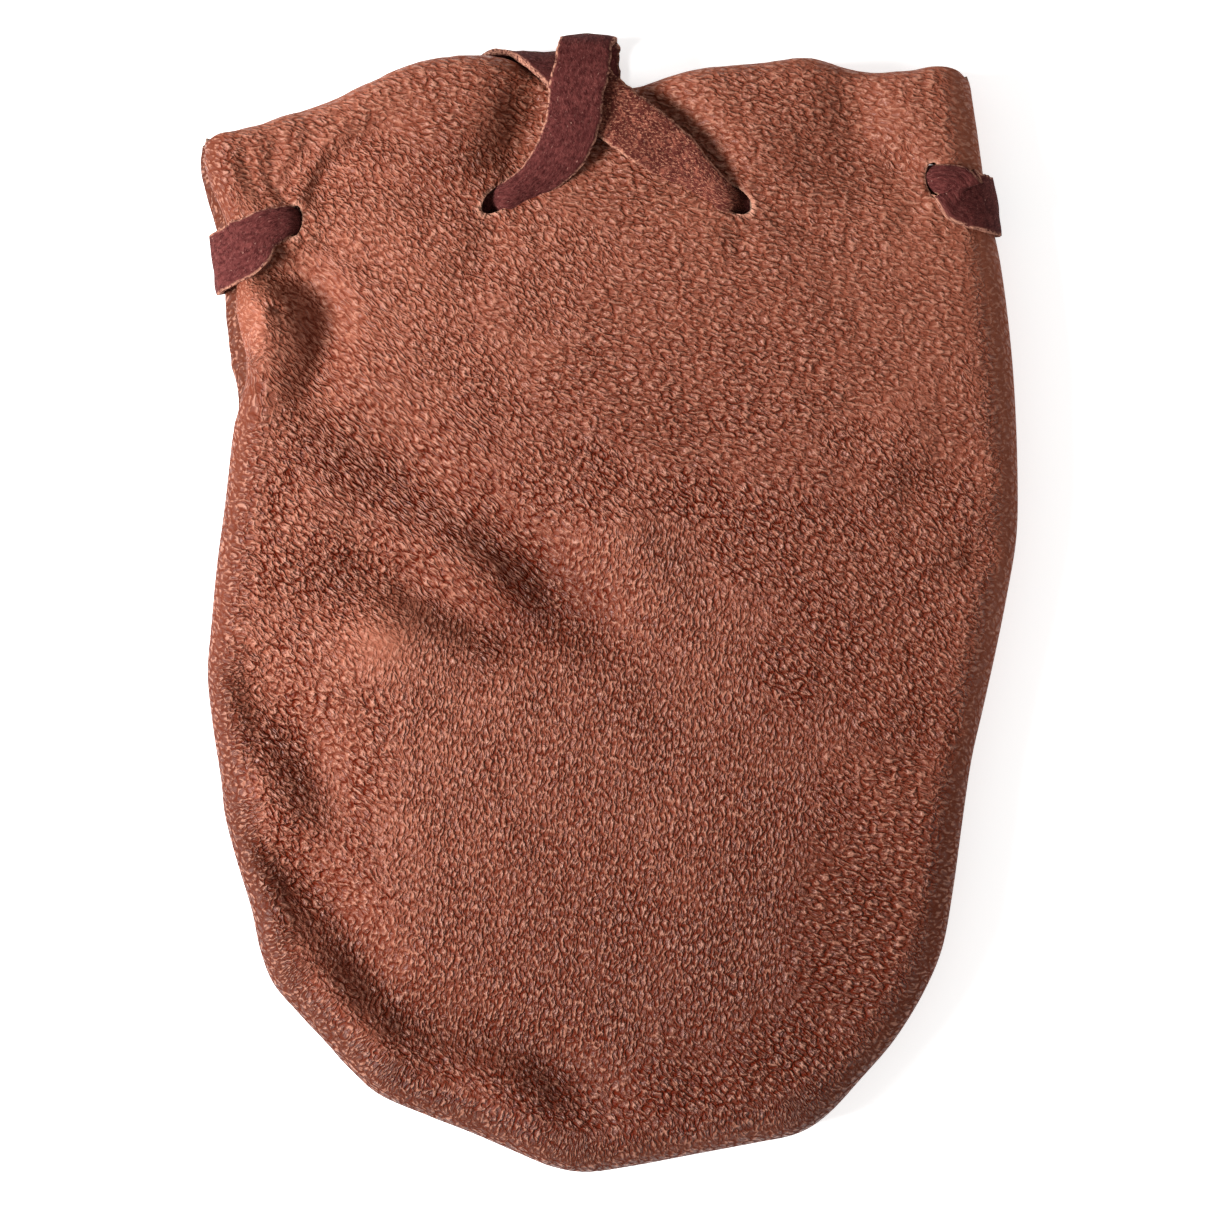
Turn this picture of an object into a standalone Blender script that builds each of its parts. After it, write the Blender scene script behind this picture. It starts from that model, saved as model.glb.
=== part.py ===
"""Drawstring dice bag: a soft leather pouch lying on its back, laced with one flat suede drawcord.

Frame: +X across the bag, +Y from the bottom seam towards the mouth, +Z up from the table.
The origin is under the middle of the bag, on the table. Shapes are worked out in millimetres and
become metres when a mesh is made.
"""
import bpy
import bmesh
import numpy as np

MM = 0.001

# Leather and the turned seam that joins the two panels
LEATHER = 1.2            # thickness of both panels
SEAM_HEIGHT = 6.5        # height of the plane where the two seam allowances meet
SEAM_GAP = 0.3           # between the two allowances
ALLOWANCE = 5.5          # how far the allowance reaches in from the seam
FOLD_RADIUS = 1.0        # where a panel turns in to become its allowance
THREAD_RADIUS = 0.2
THREAD_INSET = 3.4       # stitch line, in from the edge
TOUCHING = 0.3           # gap left between two surfaces that touch

# Front panel: a low dome that rolls over into the side seam
FRONT_ROLL_WIDTH = 6.0
FRONT_ROLL_HEIGHT = 5.0
DOME_HEIGHT = 2.2
DOME_REACH = 45.0
MOUTH_DROP = 0.3         # share of the height that the dome loses at the mouth
MOUTH_REACH = 45.0
RIM_CURL = 1.2           # how far the cut edge of the mouth turns down
RIM_CURL_WIDTH = 6.0

# Back panel: rests on a rim all round its lower part, and arches clear of the table inside it
BACK_ROLL_WIDTH = 4.6
REST_RING = 9.0          # the flat resting rim ends this far in from the edge
ARCH_END = 16.0
ARCH = 2.1               # clearance under the arch, where the ends of the lace lie
LACE_LAYER = 1.3         # more clearance near the mouth, for a second layer of lace
LIFT_START = 26.0        # from this far up the bag, the whole back lifts off the table
LIFT_END = 42.0

# Lace
LACE_WIDTH = 9.0
LACE_THICKNESS = 1.2
LACE_IN_HOLE = 4.6       # width where it is squeezed through a lace hole
LACE_GAP = 0.5           # from the leather
HOLE_LENGTH = 6.2        # lace holes, along Y
HOLE_WIDTH = 4.4
TABLE_GAP = 0.1
CUTTER_DEPTH = 4.5
PASS_REACH = 1.2         # half the distance along X in which the lace goes through a hole
PASS_EASE = 0.1          # how far short of its full height the lace is at the hole's edges

# Holes are shared by both panels: left, centre left, centre right, right
HOLES = [(-49.3, 59.6), (-16.8, 63.3), (19.2, 63.0), (51.0, 66.1)]

# Plan of the seam, from the upper left corner down, round the bottom and up to the right corner
SEAM_POINTS = [
    (-62.6, 73.2), (-63.7, 70.0), (-61.5, 54.0), (-58.3, 36.0), (-61.6, 6.0), (-61.4, -26.0),
    (-54.5, -52.0), (-46.0, -66.0), (-32.0, -77.0), (-8.0, -87.5), (15.0, -87.0), (33.0, -80.0),
    (46.0, -66.0), (53.5, -46.0), (57.6, -20.0), (63.6, 12.0), (63.0, 38.0), (58.6, 72.0),
    (56.9, 80.0), (55.0, 83.2),
]
LOWER_LEFT = 7           # the points of SEAM_POINTS where the sides end and the bottom begins
LOWER_RIGHT = 12
RIM_POINTS = [
    (-62.6, 73.2), (-59.5, 74.6), (-48.0, 78.0), (-35.0, 83.2), (-24.0, 85.4), (-13.0, 82.8),
    (-2.0, 80.4), (9.0, 82.4), (22.0, 84.6), (33.0, 85.0), (44.0, 83.0), (52.5, 84.0), (55.0, 83.2),
]

# Grid lines of a panel: close together where it rolls over
EDGE_LINES = [0.0, 0.8, 2.4, 4.9, 6.2, 7.4, 8.7, 12.0, 16.0]
RIM_LINES = [0.0, 1.5, 3.5, 6.5]
NOMINAL_WIDTH = 125.0
NOMINAL_LENGTH = 168.0
MIDDLE_SPANS_ACROSS = 8
MIDDLE_SPANS_ALONG = 12
FOLD_STEPS = 2

LACE_STEP = 2.2          # spacing of the lace's sections
THREAD_STEP = 5.0

LEATHER_COLOR = (0.30, 0.095, 0.055)
BACK_COLOR = (0.26, 0.085, 0.05)
SUEDE_COLOR = (0.105, 0.027, 0.025)
THREAD_COLOR = (0.12, 0.045, 0.03)


def clear_scene():
    for found in list(bpy.data.objects):
        bpy.data.objects.remove(found, do_unlink=True)


def new_collection(name):
    collection = bpy.data.collections.new(name)
    bpy.context.scene.collection.children.link(collection)
    return collection


def material(name, color, roughness):
    made = bpy.data.materials.new(name)
    made.use_nodes = True
    shader = made.node_tree.nodes["Principled BSDF"]
    shader.inputs["Base Color"].default_value = (*color, 1.0)
    shader.inputs["Roughness"].default_value = roughness
    shader.inputs["Metallic"].default_value = 0.0
    return made


# ---------------------------------------------------------------- curves and profiles

def spline(points, steps=12):
    """A smooth curve (Catmull-Rom) through the points, with `steps` samples in each span."""
    points = np.asarray(points, dtype=float)
    ends = np.vstack([2 * points[0] - points[1], points, 2 * points[-1] - points[-2]])
    made = []
    for i in range(1, len(ends) - 2):
        a, b, c, d = ends[i - 1:i + 3]
        for t in np.arange(steps) / steps:
            made.append(0.5 * (2 * b + (c - a) * t + (2 * a - 5 * b + 4 * c - d) * t * t
                               + (3 * b - a - 3 * c + d) * t ** 3))
    made.append(points[-1])
    return np.array(made)


def lengths_along(curve):
    steps = np.linalg.norm(np.diff(curve, axis=0), axis=1)
    return np.concatenate([[0.0], np.cumsum(steps)])


def at_fractions(curve, fractions):
    """Points of a curve at fractions of its length."""
    length = lengths_along(curve)
    wanted = np.asarray(fractions) * length[-1]
    return np.stack([np.interp(wanted, length, curve[:, k]) for k in range(curve.shape[1])], axis=1)


def smoothstep(low, high, value):
    t = np.clip((np.asarray(value, dtype=float) - low) / (high - low), 0.0, 1.0)
    return t * t * (3.0 - 2.0 * t)


def roll(distance, width):
    """A quarter round: 0 at the edge, 1 from `width` inwards."""
    left = np.clip(1.0 - np.asarray(distance, dtype=float) / width, 0.0, 1.0)
    return np.sqrt(1.0 - left * left)


def distance_to(curve, plan):
    """Distance in plan from each point to a curve."""
    plan = np.asarray(plan, dtype=float).reshape(-1, 2)
    start = curve[:-1]
    step = curve[1:] - start
    rest = plan[:, None, :] - start[None, :, :]
    share = np.clip((rest * step).sum(2) / (step * step).sum(1), 0.0, 1.0)
    return np.linalg.norm(rest - share[:, :, None] * step, axis=2).min(axis=1)


SEAM = spline(SEAM_POINTS)
RIM = spline(RIM_POINTS)
FOLD_RISE = SEAM_GAP / 2 + LEATHER / 2 + FOLD_RADIUS


# ---------------------------------------------------------------- heights of the two panels

def front_middle(plan):
    """Height of the middle of the front panel's leather at points in plan."""
    from_seam = distance_to(SEAM, plan)
    from_rim = distance_to(RIM, plan)
    rise = (FRONT_ROLL_HEIGHT * roll(from_seam, FRONT_ROLL_WIDTH)
            + DOME_HEIGHT * smoothstep(0.0, DOME_REACH, from_seam))
    rise *= 1.0 - MOUTH_DROP * (1.0 - smoothstep(0.0, MOUTH_REACH, from_rim))
    curl = RIM_CURL * np.clip(1.0 - from_rim / RIM_CURL_WIDTH, 0.0, 1.0) ** 2
    rise -= curl * roll(from_seam, FRONT_ROLL_WIDTH)
    return SEAM_HEIGHT + FOLD_RISE + rise


def back_middle(plan):
    """Height of the middle of the back panel's leather at points in plan."""
    from_seam = distance_to(SEAM, plan)
    up = np.asarray(plan, dtype=float).reshape(-1, 2)[:, 1]
    lifted = smoothstep(LIFT_START, LIFT_END, up)
    arched = smoothstep(REST_RING, ARCH_END, from_seam)
    under = ARCH * (1.0 - (1.0 - lifted) * (1.0 - arched))
    under += LACE_LAYER * lifted * smoothstep(REST_RING, 2 * ARCH_END, from_seam)
    top = SEAM_HEIGHT - FOLD_RISE
    return top - (top - LEATHER / 2 - under) * roll(from_seam, BACK_ROLL_WIDTH)


# ---------------------------------------------------------------- panels

def grid_fractions(nominal, spans, far_lines):
    """Fractions of the grid lines, close together at the edges."""
    near = [line / nominal for line in EDGE_LINES]
    far = [1.0 - line / nominal for line in reversed(far_lines)]
    middle = np.linspace(near[-1], far[0], spans + 1)[1:-1]
    return np.array(near + list(middle) + far)


def panel_grid():
    """Plan of a panel: a patch stretched between its two sides, its bottom and its rim."""
    across = grid_fractions(NOMINAL_WIDTH, MIDDLE_SPANS_ACROSS, EDGE_LINES)
    along = grid_fractions(NOMINAL_LENGTH, MIDDLE_SPANS_ALONG, RIM_LINES)
    steps = (len(SEAM) - 1) // (len(SEAM_POINTS) - 1)
    left = at_fractions(SEAM[:LOWER_LEFT * steps + 1][::-1], along)
    bottom = at_fractions(SEAM[LOWER_LEFT * steps:LOWER_RIGHT * steps + 1], across)
    right = at_fractions(SEAM[LOWER_RIGHT * steps:], along)
    top = at_fractions(RIM, across)
    u = across[None, :, None]
    v = along[:, None, None]
    sides = (1 - u) * left[:, None, :] + u * right[:, None, :]
    ends = (1 - v) * bottom[None, :, :] + v * top[None, :, :]
    corners = ((1 - v) * ((1 - u) * bottom[0] + u * bottom[-1])
               + v * ((1 - u) * top[0] + u * top[-1]))
    return sides + ends - corners


def seam_loop(rows, columns):
    """Grid indices along the seam: down the left side, along the bottom, up the right side."""
    loop = [(j, 0) for j in range(rows - 1, 0, -1)]
    loop += [(0, i) for i in range(columns)]
    loop += [(j, columns - 1) for j in range(1, rows)]
    return loop


def inward(plan):
    """Unit directions into the bag along the seam, in plan."""
    ahead = np.gradient(plan, axis=0)
    normal = np.stack([-ahead[:, 1], ahead[:, 0]], axis=1)
    return normal / np.linalg.norm(normal, axis=1, keepdims=True)


def fold_profile(side):
    """The turned-in allowance as (distance in, height) pairs, after the edge itself."""
    start = SEAM_HEIGHT + side * FOLD_RISE
    made = []
    for k in range(1, FOLD_STEPS + 1):
        angle = 0.5 * np.pi * k / FOLD_STEPS
        made.append((FOLD_RADIUS * (1 - np.cos(angle)), start - side * FOLD_RADIUS * np.sin(angle)))
    made.append((ALLOWANCE, start - side * FOLD_RADIUS))
    return made


def make_panel(name, middle, side, finish, home):
    """One leather panel with its allowance: side is 1 for the front and -1 for the back."""
    grid = panel_grid()
    rows, columns = grid.shape[:2]
    heights = middle(grid.reshape(-1, 2)).reshape(rows, columns)
    mesh = bmesh.new()
    verts = [[mesh.verts.new((*(grid[j, i] * MM), heights[j, i] * MM)) for i in range(columns)]
             for j in range(rows)]
    for j in range(rows - 1):
        for i in range(columns - 1):
            face = [verts[j][i], verts[j][i + 1], verts[j + 1][i + 1], verts[j + 1][i]]
            mesh.faces.new(face if side > 0 else face[::-1])
    loop = seam_loop(rows, columns)
    edge = np.array([grid[j, i] for j, i in loop])
    into = inward(edge)
    before = [verts[j][i] for j, i in loop]
    for reach, height in fold_profile(side):
        places = edge + into * reach
        after = [mesh.verts.new((*(place * MM), height * MM)) for place in places]
        for k in range(len(loop) - 1):
            face = [before[k], after[k], after[k + 1], before[k + 1]]
            mesh.faces.new(face if side > 0 else face[::-1])
        before = after
    data = bpy.data.meshes.new(name)
    mesh.to_mesh(data)
    mesh.free()
    data.shade_smooth()
    panel = bpy.data.objects.new(name, data)
    home.objects.link(panel)
    data.materials.append(finish)
    shell = panel.modifiers.new("leather", "SOLIDIFY")
    shell.thickness = LEATHER * MM
    shell.offset = 0.0
    return panel


def cut_holes(panel, middle, home):
    """Lace holes through a panel, each cut by its own block."""
    for number, place in enumerate(HOLES, start=1):
        height = float(middle([place])[0])
        data = bpy.data.meshes.new(f"{panel.name}_hole_cutter_{number}")
        block = bmesh.new()
        bmesh.ops.create_cube(block, size=1.0)
        bmesh.ops.scale(block, vec=(HOLE_WIDTH * MM, HOLE_LENGTH * MM, CUTTER_DEPTH * MM),
                        verts=block.verts)
        block.to_mesh(data)
        block.free()
        cutter = bpy.data.objects.new(data.name, data)
        cutter.location = (place[0] * MM, place[1] * MM, height * MM)
        cutter.hide_render = True
        cutter.display_type = "WIRE"
        home.objects.link(cutter)
        cut = panel.modifiers.new(f"hole_{number}", "BOOLEAN")
        cut.operation = "DIFFERENCE"
        cut.solver = "EXACT"
        cut.object = cutter


def make_thread(name, height, finish, home):
    """A line of stitching along the allowance."""
    length = lengths_along(SEAM)[-1]
    count = int(length / THREAD_STEP)
    line = at_fractions(SEAM, np.linspace(0.004, 0.996, count))
    line = line + inward(line) * THREAD_INSET
    curve = bpy.data.curves.new(name, "CURVE")
    curve.dimensions = "3D"
    curve.bevel_depth = THREAD_RADIUS * MM
    curve.bevel_resolution = 1
    curve.use_fill_caps = True
    path = curve.splines.new("POLY")
    path.points.add(count - 1)
    for point, place in zip(path.points, line):
        point.co = (place[0] * MM, place[1] * MM, height * MM, 1.0)
    curve.materials.append(finish)
    thread = bpy.data.objects.new(name, curve)
    home.objects.link(thread)
    return thread


# ---------------------------------------------------------------- the lace

STAND_OFF = LEATHER / 2 + LACE_GAP + LACE_THICKNESS / 2
ON_TABLE = TABLE_GAP + LACE_THICKNESS / 2
FORWARD = (0.0, 1.0, 0.0)
BACKWARD = (0.0, -1.0, 0.0)
LEFTWARD = (-1.0, 0.0, 0.0)
ALONG_LEFT_EDGE = (-0.16, 1.0, 0.0)
ALONG_RIGHT_EDGE = (0.13, -1.0, 0.0)


def over(x, y, more=0.0):
    """Height of a lace lying on the front of the bag."""
    return float(front_middle([(x, y)])[0]) + STAND_OFF + more


def inside_front(x, y):
    """Height of a lace hanging just inside the front of the bag."""
    return float(front_middle([(x, y)])[0]) - STAND_OFF - TOUCHING


def inside_back(x, y):
    """Height of a lace lying inside the bag on its back."""
    return float(back_middle([(x, y)])[0]) + STAND_OFF


def under(x, y):
    """Height of a lace held against the outside of the back."""
    return float(back_middle([(x, y)])[0]) - STAND_OFF


def lie(x, y, layer, across, width=LACE_WIDTH):
    """A point of the lace: its place, its width and the direction of its width."""
    return (x, y, layer(x, y), width, across)


def through(number, heading, before, after, across):
    """The lace going through a hole, from one side of the leather to the other."""
    x, y = HOLES[number]
    near, far = before(x, y), after(x, y)
    way = np.sign(far - near)
    return [
        (x - heading * PASS_REACH, y, near + way * PASS_EASE, LACE_IN_HOLE, across),
        (x, y, 0.5 * (near + far), LACE_IN_HOLE, across),
        (x + heading * PASS_REACH, y, far - way * PASS_EASE, LACE_IN_HOLE, across),
    ]


def make_lace(name, route, finish, home):
    """A flat lace along its route: a ribbon, given its thickness."""
    values = np.array([[x, y, z, width, *across] for x, y, z, width, across in route])
    curve = spline(values, steps=8)
    curve = np.hstack([curve, np.gradient(curve[:, :3], axis=0)])
    length = lengths_along(curve[:, :3])
    count = int(round(length[-1] / LACE_STEP))
    wanted = np.linspace(0.0, length[-1], count + 1)
    rows = np.stack([np.interp(wanted, length, curve[:, k]) for k in range(10)], axis=1)
    places = rows[:, :3]
    ahead = rows[:, 7:]
    ahead /= np.linalg.norm(ahead, axis=1, keepdims=True)
    across = rows[:, 4:7]
    across = across - (across * ahead).sum(1, keepdims=True) * ahead
    across /= np.linalg.norm(across, axis=1, keepdims=True)
    half = 0.5 * rows[:, 3:4]
    mesh = bmesh.new()
    low = [mesh.verts.new(place * MM) for place in places - half * across]
    high = [mesh.verts.new(place * MM) for place in places + half * across]
    for k in range(count):
        mesh.faces.new([low[k], low[k + 1], high[k + 1], high[k]])
    data = bpy.data.meshes.new(name)
    mesh.to_mesh(data)
    mesh.free()
    lace = bpy.data.objects.new(name, data)
    home.objects.link(lace)
    data.materials.append(finish)
    shell = lace.modifiers.new("suede", "SOLIDIFY")
    shell.thickness = LACE_THICKNESS * MM
    shell.offset = 0.0
    return lace


SPLIT_TOP = SEAM_HEIGHT + TOUCHING / 2       # where the lace passes from the front to the back
SPLIT_BOTTOM = SEAM_HEIGHT - TOUCHING / 2
WRAP_ANGLES = (0.0, 25.0, 50.0, 75.0)


def seam_x(side, y):
    """Where the seam is at this height of the bag: side is -1 for the left and 1 for the right."""
    half = SEAM[SEAM[:, 0] * side > 20.0]
    order = np.argsort(half[:, 1])
    return float(np.interp(y, half[order, 1], half[order, 0]))


def wrap(side, front, y_edge, y_flat, across):
    """The lace round an edge of the bag, from the seam's plane to the flat of one panel."""
    layer = over if front else under
    width = FRONT_ROLL_WIDTH if front else BACK_ROLL_WIDTH
    base = SEAM_HEIGHT + (FOLD_RISE if front else -FOLD_RISE)
    start = SPLIT_TOP if front else SPLIT_BOTTOM
    made = [(seam_x(side, y_edge) + side * STAND_OFF, y_edge, start, LACE_WIDTH, across)]
    for angle in np.radians(WRAP_ANGLES):
        y = y_edge + (y_flat - y_edge) * (1.0 - np.cos(angle))
        centre = seam_x(side, y) - side * width
        rise = layer(centre, y) - base
        made.append((centre + side * (width + STAND_OFF) * np.cos(angle), y,
                     base + rise * np.sin(angle), LACE_WIDTH, across))
    return made


def front_left_route():
    """Round the left edge, through two holes, then up over the rim: this end crosses on top."""
    return [
        *wrap(-1, True, 53.0, 56.6, ALONG_LEFT_EDGE),
        lie(-53.4, 58.2, over, FORWARD, 6.4),
        *through(0, 1, over, inside_front, FORWARD),
        lie(-46.0, 60.2, inside_front, FORWARD, 6.5),
        lie(-40.0, 61.2, inside_front, FORWARD),
        lie(-26.0, 62.6, inside_front, FORWARD),
        lie(-20.0, 63.2, inside_front, FORWARD, 6.5),
        *through(1, 1, inside_front, over, FORWARD),
        lie(-13.6, 65.0, over, (-0.4, 0.9, 0.0), 6.5),
        (-9.6, 69.0, over(-9.6, 69.0, 0.8), LACE_WIDTH, (-0.75, 0.65, 0.0)),
        (-6.8, 73.8, over(-6.8, 73.8, 2.3), LACE_WIDTH, (-0.92, 0.4, 0.0)),
        (-4.8, 78.4, over(-4.8, 78.4, 3.2), LACE_WIDTH, (-0.97, 0.2, 0.0)),
        (-3.6, 83.0, 16.2, LACE_WIDTH, LEFTWARD),
        (-3.0, 86.8, 14.6, LACE_WIDTH, LEFTWARD),
        (-2.6, 88.7, 11.0, LACE_WIDTH, LEFTWARD),
        (-2.6, 88.7, SPLIT_TOP, LACE_WIDTH, LEFTWARD),
    ]


def front_right_route():
    """Round the right edge, through two holes, then leftwards over the rim under the other end."""
    return [
        *wrap(1, True, 62.0, 64.0, ALONG_RIGHT_EDGE),
        lie(54.2, 65.2, over, BACKWARD, 6.4),
        *through(3, -1, over, inside_front, BACKWARD),
        lie(47.6, 65.6, inside_front, BACKWARD, 6.5),
        lie(41.0, 64.8, inside_front, BACKWARD),
        lie(28.0, 63.6, inside_front, BACKWARD),
        lie(22.6, 63.2, inside_front, BACKWARD, 6.5),
        *through(2, -1, inside_front, over, BACKWARD),
        lie(15.4, 65.2, over, (-0.5, -0.85, 0.0), 6.5),
        lie(10.0, 69.6, over, (-0.66, -0.75, 0.0)),
        (5.0, 73.4, over(5.0, 73.4, 0.2), LACE_WIDTH, (-0.62, -0.78, 0.08)),
        (0.4, 77.0, over(0.4, 77.0, 0.5), LACE_WIDTH, (-0.62, -0.78, 0.2)),
        (-4.4, 80.9, 14.0, LACE_WIDTH, (-0.6, -0.78, 0.25)),
        (-9.2, 84.0, 12.7, LACE_WIDTH, (-0.3, -0.6, 0.7)),
        (-13.2, 85.8, 10.1, LACE_WIDTH, (-0.5, -0.2, 0.8)),
        (-16.4, 86.8, 7.6, LACE_WIDTH, (-0.75, -0.15, 0.6)),
    ]


def back_route():
    """From the left edge to the right one: in, out across the middle of the back, in and out."""
    return [
        *wrap(-1, False, 53.0, 56.6, (0.16, -1.0, 0.0)),
        lie(-53.4, 58.2, under, BACKWARD, 6.4),
        *through(0, 1, under, inside_back, BACKWARD),
        lie(-46.0, 60.2, inside_back, BACKWARD, 6.5),
        lie(-40.0, 61.2, inside_back, BACKWARD),
        lie(-26.0, 62.6, inside_back, BACKWARD),
        lie(-20.0, 63.2, inside_back, BACKWARD, 6.5),
        *through(1, 1, inside_back, under, BACKWARD),
        lie(-13.4, 63.4, under, BACKWARD, 6.5),
        lie(-8.0, 63.5, under, BACKWARD),
        lie(10.0, 63.5, under, BACKWARD),
        lie(15.8, 63.2, under, BACKWARD, 6.5),
        *through(2, 1, under, inside_back, BACKWARD),
        lie(22.6, 63.2, inside_back, BACKWARD, 6.5),
        lie(28.0, 63.6, inside_back, BACKWARD),
        lie(41.0, 64.8, inside_back, BACKWARD),
        lie(47.6, 65.6, inside_back, BACKWARD, 6.5),
        *through(3, 1, inside_back, under, BACKWARD),
        lie(54.2, 65.2, under, BACKWARD, 6.4),
        *reversed(wrap(1, False, 62.0, 64.0, ALONG_RIGHT_EDGE)),
    ]


def fold_left_route():
    """The left end of the lace, turning under the rim."""
    return [
        (-2.6, 88.7, SPLIT_BOTTOM, LACE_WIDTH, LEFTWARD),
        (-2.6, 88.7, 4.6, LACE_WIDTH, LEFTWARD),
        (-2.6, 87.8, 2.4, LACE_WIDTH, LEFTWARD),
        (-2.5, 85.6, 1.2, LACE_WIDTH, LEFTWARD),
        (-2.4, 82.0, ON_TABLE, LACE_WIDTH, LEFTWARD),
        (-2.3, TAIL_START + 2 * TOUCHING, ON_TABLE, LACE_WIDTH, LEFTWARD),
    ]


def fold_right_route():
    """The right end of the lace, turning under the rim."""
    return [
        (-16.95, 87.0, 7.19, LACE_WIDTH, (-0.75, -0.15, 0.6)),
        (-18.5, 87.6, 6.0, LACE_WIDTH, (-0.8, -0.1, 0.55)),
        (-20.4, 87.9, 3.6, LACE_WIDTH, (-0.97, 0.0, 0.25)),
        (-20.8, 87.0, 1.7, LACE_WIDTH, LEFTWARD),
        (-20.4, 84.4, 0.8, LACE_WIDTH, LEFTWARD),
        (-19.7, 80.0, ON_TABLE, LACE_WIDTH, LEFTWARD),
        (-19.5, TAIL_START + 2 * TOUCHING, ON_TABLE, LACE_WIDTH, LEFTWARD),
    ]


TAIL_START = 75.0
TAIL_LEFT_PLAN = [(-2.3, TAIL_START), (-2.0, 60.0), (-0.6, 42.0), (1.4, 24.0), (2.6, 6.0),
                  (2.0, -12.0), (0.2, -28.0), (-0.6, -38.0)]
TAIL_RIGHT_PLAN = [(-19.5, TAIL_START), (-19.7, 60.0), (-20.6, 42.0), (-22.0, 24.0), (-22.6, 6.0),
                   (-21.6, -10.0), (-19.8, -24.0), (-19.0, -32.0)]


def tail_route(plan):
    return [(x, y, ON_TABLE, LACE_WIDTH, LEFTWARD) for x, y in plan]


def build():
    clear_scene()
    bag = new_collection("drawstring_dice_bag")
    cutters = new_collection("cutters")
    front_leather = material("front_leather", LEATHER_COLOR, 0.55)
    back_leather = material("back_leather", BACK_COLOR, 0.6)
    suede = material("suede_lace", SUEDE_COLOR, 0.9)
    thread = material("sewing_thread", THREAD_COLOR, 0.7)

    front = make_panel("front_panel", front_middle, 1, front_leather, bag)
    cut_holes(front, front_middle, cutters)
    back = make_panel("back_panel", back_middle, -1, back_leather, bag)
    cut_holes(back, back_middle, cutters)

    stitch_rise = SEAM_GAP / 2 + LEATHER + TOUCHING + THREAD_RADIUS
    make_thread("needle_thread", SEAM_HEIGHT + stitch_rise, thread, bag)
    make_thread("bobbin_thread", SEAM_HEIGHT - stitch_rise, thread, bag)

    make_lace("drawcord_front_left", front_left_route(), suede, bag)
    make_lace("drawcord_front_right", front_right_route(), suede, bag)
    make_lace("drawcord_back", back_route(), suede, bag)
    make_lace("drawcord_fold_left", fold_left_route(), suede, bag)
    make_lace("drawcord_fold_right", fold_right_route(), suede, bag)
    make_lace("drawcord_tail_left", tail_route(TAIL_LEFT_PLAN), suede, bag)
    make_lace("drawcord_tail_right", tail_route(TAIL_RIGHT_PLAN), suede, bag)


build()
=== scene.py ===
"""Drawstring dice bag: soft pebbled leather, one flat suede drawcord, lying on a pale table.

Shapes are worked out in millimetres, in the frame of the CAD, and become metres in `new_mesh`.
"""

import bpy
import numpy as np
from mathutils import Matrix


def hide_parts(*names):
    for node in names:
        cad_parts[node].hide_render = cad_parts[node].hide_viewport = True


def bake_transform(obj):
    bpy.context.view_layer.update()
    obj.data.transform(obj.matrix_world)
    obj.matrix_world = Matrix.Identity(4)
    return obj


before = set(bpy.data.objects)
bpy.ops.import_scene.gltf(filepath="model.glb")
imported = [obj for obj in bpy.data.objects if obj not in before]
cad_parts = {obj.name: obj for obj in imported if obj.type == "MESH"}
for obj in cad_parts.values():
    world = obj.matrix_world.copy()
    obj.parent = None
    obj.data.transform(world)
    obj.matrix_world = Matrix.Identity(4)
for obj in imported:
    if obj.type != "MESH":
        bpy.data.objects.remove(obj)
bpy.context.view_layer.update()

MM = 0.001

# ------------------------------------------------------------------ sizes, in millimetres

LEATHER = 1.2            # thickness
SEAM_HEIGHT = 6.5        # height of the seam's plane
SEAM_GAP = 0.3
ALLOWANCE = 5.5
FOLD_RADIUS = 1.6        # outside radius where a panel turns in at the seam
FRONT_WIDTH = 6.4        # the front rolls over this far in from its outline
FRONT_RISE = 5.4
BACK_WIDTH = 5.2
DOME = 2.0
DOME_REACH = 45.0
RIM_RADIUS = 2.4         # the mouth's edge turns down with this radius
RIM_EDGE = 1.0           # and goes straight down for this much
LACE_WIDTH = 9.0
LACE_THICKNESS = 1.1
LACE_IN_HOLE = 4.6
LACE_GAP = 0.16
LACE_NEAR_HOLE = 6.5
SPACING = 0.6      # of the front's grid
BACK_SPACING = 0.9
BACK_HIDE = (300.0, 40.0)            # the back is cut this far from the front in the same hide
GRID_SIZE = (145.0, 178.0)           # across and along a panel laid flat
ALLOWANCE_STEPS, FOLD_STEPS, ROLL_STEPS = 4, 7, 16

HOLES = [(-48.9, 59.6), (-16.8, 63.3), (19.2, 63.0), (50.7, 66.1)]
# half their width and height, and how far they are turned, in degrees
FRONT_HOLES = [(1.25, 2.5, -8.0), (3.6, 1.7, 40.0), (3.5, 1.9, -32.0), (1.3, 2.6, 6.0)]
BACK_HOLES = [(2.2, 3.1, 0.0)] * 4

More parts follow.
